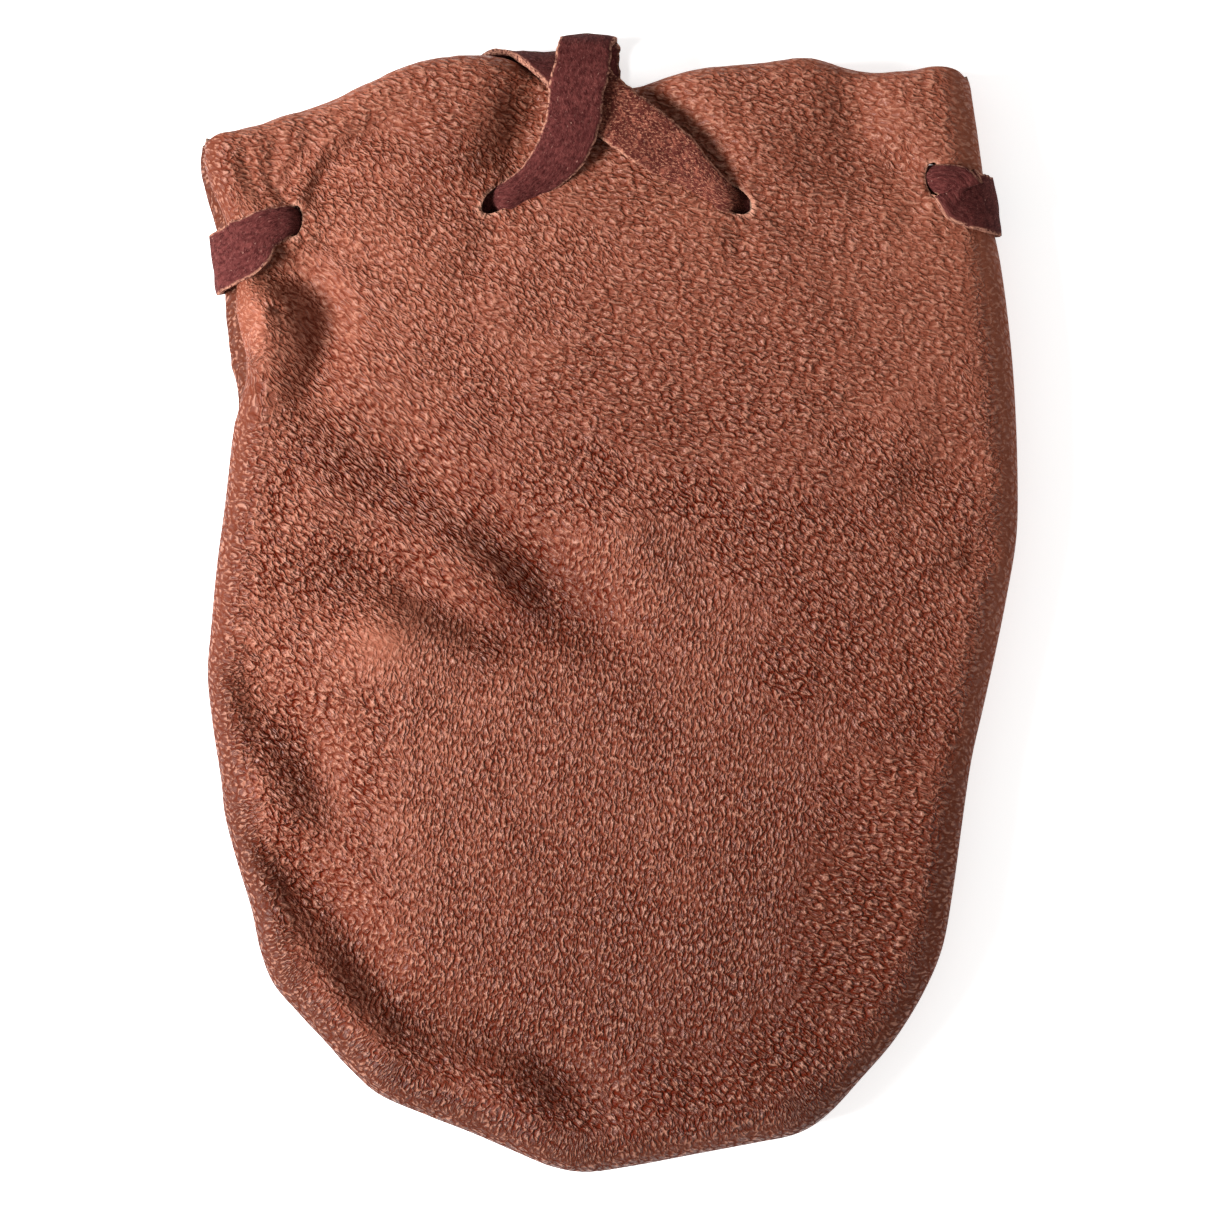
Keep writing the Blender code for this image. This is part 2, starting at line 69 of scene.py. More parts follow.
# The outline seen from above, from the upper left corner down, round the bottom and up again
OUTLINE_POINTS = [
    (-63.8, 71.8), (-64.1, 68.4), (-63.2, 64.2), (-61.7, 59.0), (-60.6, 54.0), (-60.3, 48.5),
    (-59.9, 43.5), (-59.3, 37.5), (-58.2, 31.8), (-59.0, 24.5), (-60.0, 15.5),
    (-61.2, 6.5), (-62.1, -3.0), (-62.7, -11.0), (-61.9, -19.0), (-60.6, -27.5), (-60.0, -33.0),
    (-58.2, -40.0), (-55.9, -47.5), (-54.5, -54.0), (-52.4, -59.4), (-48.5, -64.0), (-44.2, -68.6),
    (-40.6, -72.6), (-35.8, -76.8), (-28.2, -80.1), (-21.5, -82.7), (-14.8, -85.6), (-9.0, -88.0),
    (-3.5, -88.9), (3.5, -88.0), (13.0, -86.2), (22.5, -84.4), (29.5, -82.9), (34.4, -79.8),
    (39.6, -74.2), (44.6, -68.4), (49.0, -61.4), (52.2, -54.0), (53.9, -45.0), (55.4, -34.0),
    (56.8, -24.5), (58.6, -16.5), (60.6, -7.5), (62.4, 1.5), (63.9, 11.0), (64.0, 22.0),
    (63.5, 34.0), (62.6, 44.0), (61.3, 53.5), (59.7, 61.0), (58.5, 68.0), (57.8, 73.0),
    (57.0, 78.5), (56.6, 81.5),
]
LOWER_LEFT = 21          # the points where the sides end and the bottom begins
LOWER_RIGHT = 36
RIM_POINTS = [
    (-63.8, 71.8), (-61.6, 73.2), (-58.0, 74.0), (-50.0, 76.3), (-42.0, 79.3), (-34.0, 82.9),
    (-30.0, 84.4), (-25.0, 85.3), (-19.5, 85.5), (-15.0, 84.7), (-11.2, 83.0), (-6.0, 80.9),
    (0.0, 80.1), (4.5, 80.8), (9.5, 82.3), (14.0, 83.4), (22.0, 84.2), (29.5, 85.1), (33.5, 84.8),
    (38.0, 83.4), (42.0, 82.9), (47.0, 83.3), (51.0, 83.9), (54.6, 83.3), (56.6, 81.5),
]
# On the upper left the back wraps forward, so the seam shows: (height up the bag, how far in)
WRAP_UP = [28.0, 32.0, 36.0, 39.0, 42.0, 46.0, 52.0, 58.0, 63.0, 67.0, 71.0, 74.0]
WRAP_IN = [0.0, 0.7, 2.3, 3.1, 2.6, 2.0, 2.6, 2.4, 1.9, 1.3, 0.8, 0.5]
WRAP_RISE = 1.15         # the seam rises this much for each millimetre that it moves in

# ------------------------------------------------------------------ numbers and curves


def smoothstep(low, high, value):
    t = np.clip((np.asarray(value, dtype=float) - low) / (high - low), 0.0, 1.0)
    return t * t * (3.0 - 2.0 * t)


def spline(points, steps=12):
    """A smooth curve (Catmull-Rom) through the points, with `steps` samples in each span."""
    points = np.asarray(points, dtype=float)
    ends = np.vstack([2 * points[0] - points[1], points, 2 * points[-1] - points[-2]])
    made = []
    for i in range(1, len(ends) - 2):
        a, b, c, d = ends[i - 1:i + 3]
        for t in np.arange(steps) / steps:
            made.append(0.5 * (2 * b + (c - a) * t + (2 * a - 5 * b + 4 * c - d) * t * t
                               + (3 * b - a - 3 * c + d) * t ** 3))
    made.append(points[-1])
    return np.array(made)


def lengths_along(curve):
    steps = np.linalg.norm(np.diff(curve, axis=0), axis=1)
    return np.concatenate([[0.0], np.cumsum(steps)])


def at_fractions(curve, fractions):
    length = lengths_along(curve)
    wanted = np.asarray(fractions) * length[-1]
    return np.stack([np.interp(wanted, length, curve[:, k]) for k in range(curve.shape[1])], axis=1)


def nearest(curve, plan):
    """For each point in plan: its distance from a curve, and how far along the curve that is."""
    plan = np.asarray(plan, dtype=float).reshape(-1, 2)
    start = curve[:-1]
    step = curve[1:] - start
    square = np.maximum((step * step).sum(1), 1e-12)
    along = lengths_along(curve)
    distance, place = np.empty(len(plan)), np.empty(len(plan))
    for first in range(0, len(plan), 3000):
        part = plan[first:first + 3000]
        rest = part[:, None, :] - start[None, :, :]
        share = np.clip((rest * step).sum(2) / square, 0.0, 1.0)
        away = np.linalg.norm(rest - share[:, :, None] * step, axis=2)
        best = away.argmin(axis=1)
        rows = np.arange(len(part))
        distance[first:first + 3000] = away[rows, best]
        place[first:first + 3000] = along[best] + share[rows, best] * np.sqrt(square[best])
    return distance, place


def inward(curve, smooth=0):
    """Unit directions into the bag along its outline."""
    ahead = np.gradient(curve, axis=0)
    normal = np.stack([-ahead[:, 1], ahead[:, 0]], axis=1)
    normal /= np.linalg.norm(normal, axis=1, keepdims=True)
    for _ in range(smooth):
        padded = np.vstack([normal[:1], normal, normal[-1:]])
        normal = (padded[:-2] + padded[1:-1] + padded[2:]) / 3.0
        normal /= np.linalg.norm(normal, axis=1, keepdims=True)
    return normal


def scatter(ix, iy, seed):
    """A fixed random number from 0 to 1 for each pair of whole numbers."""
    n = (ix * 374761393 + iy * 668265263 + seed * 974634777) & 0xFFFFFFFF
    n = ((n ^ (n >> 13)) * 1274126177) & 0xFFFFFFFF
    return ((n ^ (n >> 16)) & 0xFFFFFFFF) / 4294967296.0


def noise(x, y, seed):
    """Smooth noise from -1 to 1, with a wavelength of about 2."""
    ix, iy = np.floor(x).astype(np.int64), np.floor(y).astype(np.int64)
    fx, fy = x - ix, y - iy
    u = fx * fx * fx * (fx * (6 * fx - 15) + 10)
    v = fy * fy * fy * (fy * (6 * fy - 15) + 10)
    low = scatter(ix, iy, seed) * (1 - u) + scatter(ix + 1, iy, seed) * u
    high = scatter(ix, iy + 1, seed) * (1 - u) + scatter(ix + 1, iy + 1, seed) * u
    return 2.0 * (low * (1 - v) + high * v) - 1.0


OUTLINE = spline(OUTLINE_POINTS, 8)
RIM = spline(RIM_POINTS, 8)


# ------------------------------------------------------------------ meshes

def new_mesh(name, points, faces, finish):
    """An object from points in millimetres and faces of three or four corners."""
    data = bpy.data.meshes.new(name)
    data.from_pydata((np.asarray(points) * MM).tolist(), [], [tuple(f) for f in faces])
    data.update()
    data.shade_smooth()
    for one in finish:
        data.materials.append(one)
    made = bpy.data.objects.new(name, data)
    bpy.context.scene.collection.objects.link(made)
    return made


def attribute(piece, name, values):
    values = np.asarray(values, dtype=np.float32)
    kind = "FLOAT" if values.ndim == 1 else "FLOAT_VECTOR"
    made = piece.data.attributes.new(name, kind, "POINT")
    made.data.foreach_set("value" if kind == "FLOAT" else "vector", values.ravel())


# ------------------------------------------------------------------ relief of the leather

# Folds sculpted in the front: points, width, height at the middle (negative for a valley)
FOLDS = [
    # the dips on both sides of the two straps, and the dip of the mouth between them
    ([(-17.5, 65.5), (-14.5, 71.0), (-12.0, 77.0), (-11.0, 84.0)], 5.0, -4.8),
    ([(20.0, 64.5), (14.0, 71.0), (8.0, 77.5), (4.0, 85.0)], 4.6, -2.7),
    ([(-5.0, 72.0), (-1.5, 78.0), (-1.0, 84.0)], 6.7, -3.4),
    # the bulge under the left wrap, and the valley round it
    ([(-54.8, 42.0), (-53.6, 46.0)], 5.4, 3.4),
    ([(-57.0, 51.6), (-51.5, 51.9), (-46.4, 49.6), (-43.6, 44.6), (-44.2, 38.0), (-47.6, 33.0)],
     3.5, -3.9),
    ([(-44.5, 38.5), (-47.0, 33.0), (-46.0, 28.0)], 6.1, -1.2),
    # the long soft valley from the bulge to the middle, and the ridge below it
    ([(-45.0, 33.0), (-36.0, 24.0), (-27.0, 18.0), (-18.0, 11.0), (-11.5, 5.5), (-6.0, -2.5)],
     6.6, -3.1),
    ([(-18.0, 9.5), (-11.0, 5.0), (-4.0, -0.5), (3.0, -6.0)], 5.2, -2.7),
    ([(-1.0, 14.5), (4.0, 9.0), (9.0, 3.0)], 5.6, 1.3),
    ([(-31.0, 11.5), (-21.0, 7.0), (-14.0, 1.5)], 4.9, 1.6),
    # the light spot on the left, and the valley that curves over it
    ([(-39.0, -5.0), (-36.0, -5.6), (-33.0, -7.0)], 8.8, 2.5),
    ([(-43.0, 3.4), (-37.0, 5.0), (-30.5, 3.2), (-24.5, -0.6), (-16.0, -4.0), (-6.0, -3.0)],
     4.4, -3.4),
    # left belly
    ([(-60.0, -12.0), (-52.0, -16.5), (-46.0, -24.0), (-42.0, -34.0)], 5.4, -3.4),
    ([(-54.0, -29.0), (-49.0, -35.0)], 5.6, 1.8),
    # the long valleys along the lower left
    ([(-57.0, -36.0), (-49.0, -42.0), (-41.0, -51.0), (-36.0, -59.5), (-29.0, -66.0)], 5.2, -4.4),
    ([(-31.0, -62.0), (-21.0, -66.5), (-10.0, -70.0), (-4.0, -75.0), (0.0, -80.0)], 5.0, -3.4),
    ([(-46.0, -56.0), (-40.0, -64.0), (-31.0, -71.5)], 5.0, 2.2),
    ([(-20.0, -74.0), (-11.0, -79.0)], 5.2, 1.6),
    # right side
    ([(58.0, 20.5), (51.0, 20.0), (45.0, 17.0)], 3.4, -1.3),
    ([(61.0, 8.5), (54.0, 6.5)], 3.2, -1.2),
    ([(54.0, -18.0), (47.0, -22.0)], 3.9, -1.0),
    ([(30.0, 74.0), (35.0, 70.0), (42.0, 67.5), (48.0, 67.0)], 5.5, -1.7),
    ([(37.5, 84.0), (38.5, 78.0), (41.0, 72.0)], 4.6, -1.8),
    # upper left: ridges that run from the left hole to the mouth
    ([(-49.5, 62.0), (-45.0, 66.5), (-38.0, 72.0), (-30.0, 75.0)], 2.3, -1.7),
    ([(-51.0, 62.5), (-49.5, 67.0), (-45.0, 73.0)], 1.6, -1.0),
    ([(-52.0, 62.5), (-52.5, 67.5), (-51.0, 72.5)], 1.5, -1.0),
    ([(-53.5, 62.5), (-56.0, 67.0), (-57.0, 71.0)], 1.5, -1.0),
    ([(-47.0, 62.0), (-41.0, 64.5), (-34.0, 66.0)], 2.1, -1.2),
    ([(-47.0, 57.5), (-40.0, 54.0), (-33.0, 52.5)], 2.7, -1.2),
    # round the other holes
    ([(-19.5, 63.0), (-26.0, 62.5), (-32.0, 63.5)], 2.4, -1.2),
    ([(-17.5, 60.5), (-19.0, 55.0), (-23.0, 50.0)], 2.9, -1.0),
    ([(21.5, 62.0), (28.0, 59.5), (35.0, 59.5)], 2.7, -1.0),
    ([(20.0, 60.0), (21.5, 54.0)], 2.4, -0.9),
    ([(48.5, 67.0), (43.0, 69.0)], 1.8, -0.8),
    ([(49.5, 63.0), (45.0, 58.0)], 2.0, -0.8),
]
# Sharp little creases: points, width, depth
CREASES = [
    ([(-56.3, 42.4), (-55.6, 44.4), (-54.9, 45.8)], 0.46, -0.94),
    ([(-55.3, 43.8), (-54.3, 45.6), (-53.4, 46.8)], 0.42, -0.85),
    ([(-53.4, 46.6), (-51.9, 46.2), (-50.7, 45.0)], 0.46, -0.77),
    ([(-56.9, 42.2), (-56.2, 42.8)], 0.44, -0.68),
    ([(60.0, 21.3), (57.0, 21.4), (54.0, 20.2)], 0.50, -0.59),
    ([(60.5, 18.2), (57.0, 18.0)], 0.50, -0.51),
    ([(61.0, 7.0), (58.0, 7.4), (55.5, 6.6)], 0.50, -0.59),
    ([(56.0, -20.0), (52.5, -20.4)], 0.50, -0.51),
    ([(-60.5, -5.5), (-57.0, -6.0), (-54.0, -8.0), (-51.0, -8.6)], 0.55, -0.54),
    ([(-60.0, 0.5), (-57.0, 0.2), (-55.0, -0.6)], 0.50, -0.48),
    ([(-59.5, -11.0), (-56.0, -12.0), (-53.5, -14.0)], 0.55, -0.51),
    ([(-57.5, 9.5), (-54.0, 8.0), (-51.0, 7.6)], 0.50, -0.48),
]


def strokes(plan, table, reach=2.8):
    """The summed height of a table of folds: each is a row of soft beads along its curve."""
    total = np.zeros(len(plan))
    for points, width, height in table:
        curve = spline(points, 12)
        count = max(4, int(lengths_along(curve)[-1] / (0.5 * width)) + 2)
        share = np.linspace(0.0, 1.0, count)
        beads = at_fractions(curve, share)
        weight = 0.45 + 0.55 * smoothstep(0.0, 0.3, np.minimum(share, 1.0 - share))

        def swell(at):
            return np.exp(-((at[:, None, :] - beads) ** 2).sum(2) / width ** 2) @ weight

        low, high = beads.min(axis=0) - reach * width, beads.max(axis=0) + reach * width
        inside = np.flatnonzero(np.all((plan > low) & (plan < high), axis=1))
        total[inside] += height / swell(beads).max() * swell(plan[inside])
    return total


def front_top(plan):
    """Height of the front's outer face at points in plan, without its finest relief."""
    plan = np.asarray(plan, dtype=float).reshape(-1, 2)
    away, _ = nearest(OUTLINE, plan)
    return top_from(plan, away)


def top_from(plan, away):
    rise, start = inset_of(plan) * WRAP_RISE, SEAM_HEIGHT + SEAM_GAP / 2 + FOLD_RADIUS
    share = np.clip(1.0 - away / FRONT_WIDTH, 0.0, 1.0)
    round_over = np.sqrt(1.0 - share * share)
    return start + rise * (1.0 - round_over) + FRONT_RISE * round_over + soft_relief(plan, away)


def soft_relief(plan, away):
    """Dome, sag of the mouth, folds and slow waves of the front."""
    from_rim, _ = nearest(RIM, plan)
    dome = DOME * smoothstep(0.0, DOME_REACH, away)
    mouth = 1.0 - smoothstep(0.0, 40.0, from_rim)
    waves = (0.42 * noise(plan[:, 0] / 17.0, plan[:, 1] / 17.0, 3)
             + 0.2 * noise(plan[:, 0] / 7.5 + 9.0, plan[:, 1] / 7.5, 5))
    fade = smoothstep(0.5, 7.0, away)
    lowered = -1.7 * mouth * smoothstep(0.0, 22.0, away)
    return fade * (dome + waves + strokes(plan, FOLDS)) + lowered


def inset_of(plan):
    """How far in the seam is at points by the upper left edge."""
    left = 1.0 - smoothstep(-50.0, -44.0, plan[:, 0])
    return np.interp(plan[:, 1], WRAP_UP, WRAP_IN) * left


def back_under(plan, away):
    """Height of the back's outer face above the table."""
    up = plan[:, 1]
    lifted = smoothstep(26.0, 42.0, up)
    arched = smoothstep(9.0, 16.0, away)
    under = 2.1 * (1.0 - (1.0 - lifted) * (1.0 - arched))
    under += 1.3 * lifted * smoothstep(9.0, 32.0, away)
    waves = 0.3 * noise(plan[:, 0] / 15.0, plan[:, 1] / 15.0, 11) * arched
    return under + waves * smoothstep(16.0, 24.0, away)


# ------------------------------------------------------------------ panels

def turned_in(inset, way):
    """The seam allowance and its fold, up (1) or down (-1), as (in, up) pairs, and their height."""
    start = way * SEAM_GAP / 2 + inset * WRAP_RISE
    flat = [(inset + ALLOWANCE - (ALLOWANCE - FOLD_RADIUS) * k / ALLOWANCE_STEPS, start)
            for k in range(ALLOWANCE_STEPS)]
    turns = [0.5 * np.pi * k / FOLD_STEPS for k in range(FOLD_STEPS)]
    fold = [(inset + FOLD_RADIUS * (1.0 - np.sin(turn)),
             start + way * FOLD_RADIUS * (1.0 - np.cos(turn))) for turn in turns]
    return flat + fold, start


def front_section(inset):
    """Section of the front at the seam, from the end of its allowance to the flat."""
    allowance, start = turned_in(inset, 1)
    across = FRONT_WIDTH - inset
    height = FRONT_RISE + FOLD_RADIUS + SEAM_GAP / 2 - (start + FOLD_RADIUS)
    turns = [0.5 * np.pi * k / ROLL_STEPS for k in range(ROLL_STEPS + 1)]
    over = [(inset + across * (1.0 - np.cos(turn)), start + FOLD_RADIUS + height * np.sin(turn))
            for turn in turns]
    return np.array(allowance + over)


def back_section(inset):
    """Section of the back, which wraps forward: up from its outline and over to the seam."""
    allowance, start = turned_in(inset, -1)
    top, lift = start - FOLD_RADIUS, inset * WRAP_RISE
    a, b, c = np.array([(inset, top), (inset * 0.45, top - 0.9 * lift * 0.5),
                        (0.0, top - lift - 0.4)])
    shoulder = 0.4           # share of the section that goes over the seam
    over = []
    for k in range(ROLL_STEPS + 1):
        t = k / ROLL_STEPS
        if t < shoulder:
            s = t / shoulder
            p = (1 - s) ** 2 * a + 2 * s * (1 - s) * b + s * s * c
        else:
            turn = 0.5 * np.pi * (t - shoulder) / (1.0 - shoulder)
            p = np.array([BACK_WIDTH * (1.0 - np.cos(turn)),
                          c[1] - (SEAM_HEIGHT + c[1]) * np.sin(turn)])
        over.append(tuple(p))
    return np.array(allowance + over)


def at_inset(inset, values):
    """Values worked out for each whole millimetre of inset, blended to each point's own inset."""
    place = np.clip(inset, 0.0, len(values) - 1.001)
    low = place.astype(int)
    part = place - low
    rows = np.arange(len(place))
    values = np.stack(values)
    return values[low, rows] * (1 - part) + values[low + 1, rows] * part


INSETS = (0.0, 1.0, 2.0, 3.0, 4.0)


class Sheet:
    """A panel laid flat: a grid stretched between its sides, its bottom and its rim."""

    def __init__(self, spacing, profile, rim_extra):
        lengths = lengths_along(profile)
        extra = lengths[-1] - profile[-1, 0]
        first = int(profile[:, 0].argmin())      # where the section is furthest out
        self.extra = extra
        self.normals = inward(OUTLINE, 24)
        self.flat = OUTLINE - self.normals * extra
        span = (len(OUTLINE) - 1) // (len(OUTLINE_POINTS) - 1)
        # the rim, laid flat: its ends reach out over the turned seams
        away, place = nearest(OUTLINE, RIM)
        length = lengths_along(OUTLINE)
        into = np.stack([np.interp(place, length, self.normals[:, k]) for k in (0, 1)], axis=1)
        unrolled = np.interp(away, profile[first:, 0], lengths[first:])
        out = np.where(away < profile[-1, 0], extra + away - unrolled, 0.0)
        rim = RIM - into * out[:, None]
        turned = np.linspace(0.0, lengths[first], 8)[:-1, None] - extra
        rim = np.vstack([OUTLINE[0] + self.normals[0] * turned, rim,
                         (OUTLINE[-1] + self.normals[-1] * turned)[::-1]])
        rim[:, 1] += rim_extra
        self.rim = rim
        left_end, right_end = rim[0], rim[-1]
        left = np.vstack([left_end, self.flat[:LOWER_LEFT * span + 1]])[::-1]
        bottom = self.flat[LOWER_LEFT * span:LOWER_RIGHT * span + 1]
        right = np.vstack([self.flat[LOWER_RIGHT * span:], right_end])
        self.seam = np.vstack([left_end, self.flat, right_end])
        self.seam_normals = np.vstack([self.normals[:1], self.normals, self.normals[-1:]])
        columns, rows = (int(round(size / spacing)) for size in GRID_SIZE)
        across, along = np.linspace(0, 1, columns + 1), np.linspace(0, 1, rows + 1)
        left, right = at_fractions(left, along), at_fractions(right, along)
        bottom, top = at_fractions(bottom, across), at_fractions(rim, across)
        u, v = across[None, :, None], along[:, None, None]
        sides = (1 - u) * left[:, None, :] + u * right[:, None, :]
        ends = (1 - v) * bottom[None, :, :] + v * top[None, :, :]
        corners = ((1 - v) * ((1 - u) * bottom[0] + u * bottom[-1])
                   + v * ((1 - u) * top[0] + u * top[-1]))
        grid = sides + ends - corners
        self.rows, self.columns = grid.shape[:2]
        self.plan = grid.reshape(-1, 2)
        self.from_seam, self.along = nearest(self.seam, self.plan)
        self.from_rim, self.along_rim = nearest(self.rim, self.plan)
        length = lengths_along(self.seam)
        into = np.stack([np.interp(self.along, length, self.seam_normals[:, k]) for k in (0, 1)], 1)
        self.into = into / np.linalg.norm(into, axis=1, keepdims=True)

    def faces(self, up):
        j, i = np.meshgrid(np.arange(self.rows - 1), np.arange(self.columns - 1), indexing="ij")
        a = (j * self.columns + i).ravel()
        b, c, d = a + 1, a + self.columns + 1, a + self.columns
        return np.stack([a, b, c, d] if up else [a, d, c, b], axis=1)

    def gradient(self, points):
        grid = points.reshape(self.rows, self.columns, 3)
        normal = np.cross(np.gradient(grid, axis=1), np.gradient(grid, axis=0)).reshape(-1, 3)
        return normal / np.maximum(np.linalg.norm(normal, axis=1, keepdims=True), 1e-9)


def cut_holes(points, faces, plan, radii):
    """Leaves out the faces inside each lace hole and moves the hole's edge onto its outline."""
    keep = np.ones(len(faces), bool)
    edge = np.zeros(len(points))
    for (x, y), (rx, ry, turn) in zip(HOLES, radii):
        c, s = np.cos(np.radians(turn)), np.sin(np.radians(turn))
        local = (plan - (x, y)) @ np.array([[c, -s], [s, c]])
        local = local / (rx, ry)
        size = np.linalg.norm(local, axis=1)
        centre = np.linalg.norm(local[faces].mean(axis=1), axis=1)
        inside = centre < 1.0
        keep &= ~inside
        ring = np.intersect1d(np.unique(faces[inside]), np.unique(faces[~inside]))
        moved = local[ring] / np.maximum(size[ring, None], 1e-6) * (rx, ry)
        points[ring, :2] = moved @ np.array([[c, s], [-s, c]]) + (x, y)
        edge = np.maximum(edge, 1.0 - smoothstep(1.0, 1.9, size))
    return faces[keep], edge


def trimmed(points, faces, fields):
    """Drops the points that no face uses."""
    used = np.unique(faces)
    index = np.full(len(points), -1)
    index[used] = np.arange(len(used))
    return points[used], index[faces], {k: v[used] for k, v in fields.items()}


def build_front(finish):
    plain = front_section(0.0)
    lengths = lengths_along(plain)
    sheet = Sheet(SPACING, plain, RIM_RADIUS * (0.5 * np.pi - 1.0) + RIM_EDGE)
    extra, d = sheet.extra, sheet.from_seam
    inset = inset_of(sheet.plan + sheet.into * extra)
    sections = [front_section(level) for level in INSETS]
    reach = at_inset(inset, [np.interp(d, lengths, section[:, 0]) for section in sections])
    height = at_inset(inset, [np.interp(d, lengths, section[:, 1]) for section in sections])
    bent = d < lengths[-1]
    plan = sheet.plan.copy()
    shift = np.where(bent, extra + reach - d, 0.0)
    plan += sheet.into * shift[:, None]
    away = np.where(bent, reach, d - extra)
    # the mouth's edge turns down
    r = sheet.from_rim
    turned = RIM_RADIUS * 0.5 * np.pi + RIM_EDGE - r
    angle = np.clip(turned / RIM_RADIUS, 0.0, 0.5 * np.pi)
    straight = np.clip(RIM_EDGE - r, 0.0, RIM_EDGE)
    plan[:, 1] += np.where(turned > 0.0, RIM_RADIUS * np.sin(angle) - turned, 0.0)
    drop = np.where(turned > 0.0, RIM_RADIUS * (1.0 - np.cos(angle)) + straight, 0.0)
    shallow = smoothstep(2.0, 9.0, away)
    relief = soft_relief(plan, away)
    base = SEAM_HEIGHT + height + relief * smoothstep(0.0, 3.0, d - (ALLOWANCE - FOLD_RADIUS))
    z = base - drop * (0.35 + 0.65 * shallow)
    points = np.column_stack([plan, z])
    # fine wrinkles, along the face's own direction
    normal = sheet.gradient(points)
    s, t = sheet.along, sheet.along_rim
    skin = sheet.plan
    edge_zone = smoothstep(6.5, 9.5, d) * (1.0 - smoothstep(15.0, 24.0, d))
    fine = edge_zone * (0.12 * noise(s / 2.9, d / 7.0, 21) + 0.05 * noise(s / 1.3, d / 4.5, 22))
    open_field = smoothstep(12.0, 20.0, d)
    fine += open_field * (0.07 * noise(skin[:, 0] / 2.6, skin[:, 1] / 3.2, 31)
                          + 0.05 * noise(skin[:, 0] / 1.5 + skin[:, 1] / 4.0, skin[:, 1] / 2.4, 32))
    # pleats that run out from the holes
    for number, (x, y) in enumerate(HOLES):
        dx, dy = plan[:, 0] - x, plan[:, 1] - y
        far = np.hypot(dx, dy)
        bearing = np.arctan2(dy, dx)
        swell = smoothstep(1.5, 3.0, far) * np.exp(-far / 6.5)
        sharp = 2.0 if number == 0 else 1.0
        above = smoothstep(0.0, 3.0, dy) * (number == 0)
        fine += (0.46 * swell + 0.8 * above * np.exp(-far / 9.0)) * noise(
            bearing * 2.4 * sharp + 40.0, far / 9.0, 41 + number)
        fine += 0.28 * np.exp(-((far - 3.1) / 1.1) ** 2)
    fine += strokes(plan, CREASES, 4.0) * smoothstep(1.0, 3.0, away)
    # ripples along the mouth
    mouth = (1.0 - smoothstep(3.0, 16.0, r)) * smoothstep(0.5, 3.0, r)
    fine += mouth * 0.13 * noise(t / 6.0, r / 1.7, 51)
    points += normal * (fine * smoothstep(6.4, 8.0, d))[:, None]
    faces = sheet.faces(True)
    faces, cut = cut_holes(points, faces, plan, FRONT_HOLES)
    fields = skin_fields(sheet, sheet.plan, cut)
    lays(fields, plan, away, r, strokes(plan, FOLDS))
    points, faces, fields = trimmed(points, faces, fields)
    return finish_panel("front_panel_leather", points, faces, fields, finish)


def skin_fields(sheet, skin, cut):
    """What the leather reads at each point: its places in the skin and by the seam, and cuts."""
    return {
        "skin": np.column_stack([skin, np.zeros(len(skin))]),
        "edge": np.column_stack([sheet.along, sheet.from_seam, np.zeros(len(skin))]),
        "cut": cut,
    }


def patch(x, y, centre, reach):
    """A soft round spot: 1 at its centre."""
    return np.exp(-((x - centre[0]) / reach[0]) ** 2 - ((y - centre[1]) / reach[1]) ** 2)


def lays(fields, plan, away, r, hollow):
    """Adds shares of the grain's directions, its smoothness, and how light or dark the leather is
    made at each point: a little uneven colour of its own, mostly painted light and shade.
    """
    x, y = plan[:, 0], plan[:, 1]
    wander = 0.25 * noise(x / 9.0, y / 9.0, 61)
    edge = 0.8 * np.exp(-((away - 4.0) / 3.0) ** 2) * smoothstep(8.0, 18.0, r)
    upright = smoothstep(0.0, 0.9, patch(x, y, (-2.0, -34.0), (40.0, 42.0)) + wander)
    slant = smoothstep(0.05, 0.8, patch(x + 0.6 * (y - 22.0), y, (-30.0, 20.0), (15.0, 26.0))
                       + wander)
    level = smoothstep(0.05, 0.8, np.exp(-(r / 11.0) ** 2)
                       + patch(x, y, (45.0, -50.0), (18.0, 26.0))
                       + patch(x, y, (26.0, 46.0), (34.0, 26.0)) + wander)
    level *= 1.0 - 0.6 * edge
    shares = np.stack([0.42 + 0.0 * x, edge, upright, slant, level]) ** 6
    shares /= shares.sum(axis=0)
    fields["lay"] = shares[1:4].T
    fields["level"] = shares[4]
    spot = patch(x, y, (-35.5, -5.5), (6.0, 5.5))
    smooth = 0.75 * (1.0 - smoothstep(1.6, 4.6, away)) + 0.75 * spot
    smooth += 0.75 * (1.0 - smoothstep(0.8, 4.8, r))
    bulge = patch(x, y, (-58.0, 46.0), (3.5, 7.0))
    smooth += 0.34 * smoothstep(14.0, 52.0, y) + 0.20 * smoothstep(18.0, 55.0, x)
    fields["smooth"] = np.clip(smooth + 0.75 * bulge, 0.0, 0.92)
    # painted light and shade: lighter on the left and toward the top, darker toward the bottom and
    # the lower right, as the lamp falls; the noise term is the leather's own uneven colour
    left = 1.0 - smoothstep(-62.0, 10.0, x + 0.15 * y)
    low_right = smoothstep(-30.0, 70.0, x * 0.8 - y * 0.7)
    low = smoothstep(-10.0, 95.0, -y)
    high = smoothstep(0.0, 75.0, y)
    tone_and_painted_light = (0.44 + 0.46 * left - 0.34 * low_right - 0.7 * low + 0.08 * high
            + 0.12 * noise(x / 14.0, y / 14.0, 71))
    # painted shade on the rolled left edge, which faces the lamp
    tone_and_painted_light -= 1.3 * (1.0 - smoothstep(2.0, 7.0, away)) * left
    # painted shade: a dark spot in the valley in the middle, and another on the leather beside the
    # lace, left of the straps
    tone_and_painted_light -= 0.45 * patch(x, y, (-7.0, 1.0), (13.0, 11.0))
    tone_and_painted_light -= 0.50 * patch(x, y, (-25.0, 69.0), (9.0, 9.0))
    # painted shade in the valleys of the folds and painted light on their ridges, following their
    # height
    fields["tone_and_painted_light"] = np.clip(tone_and_painted_light + 0.1 * np.clip(hollow, -4.5, 3.0), -0.8, 1.2)


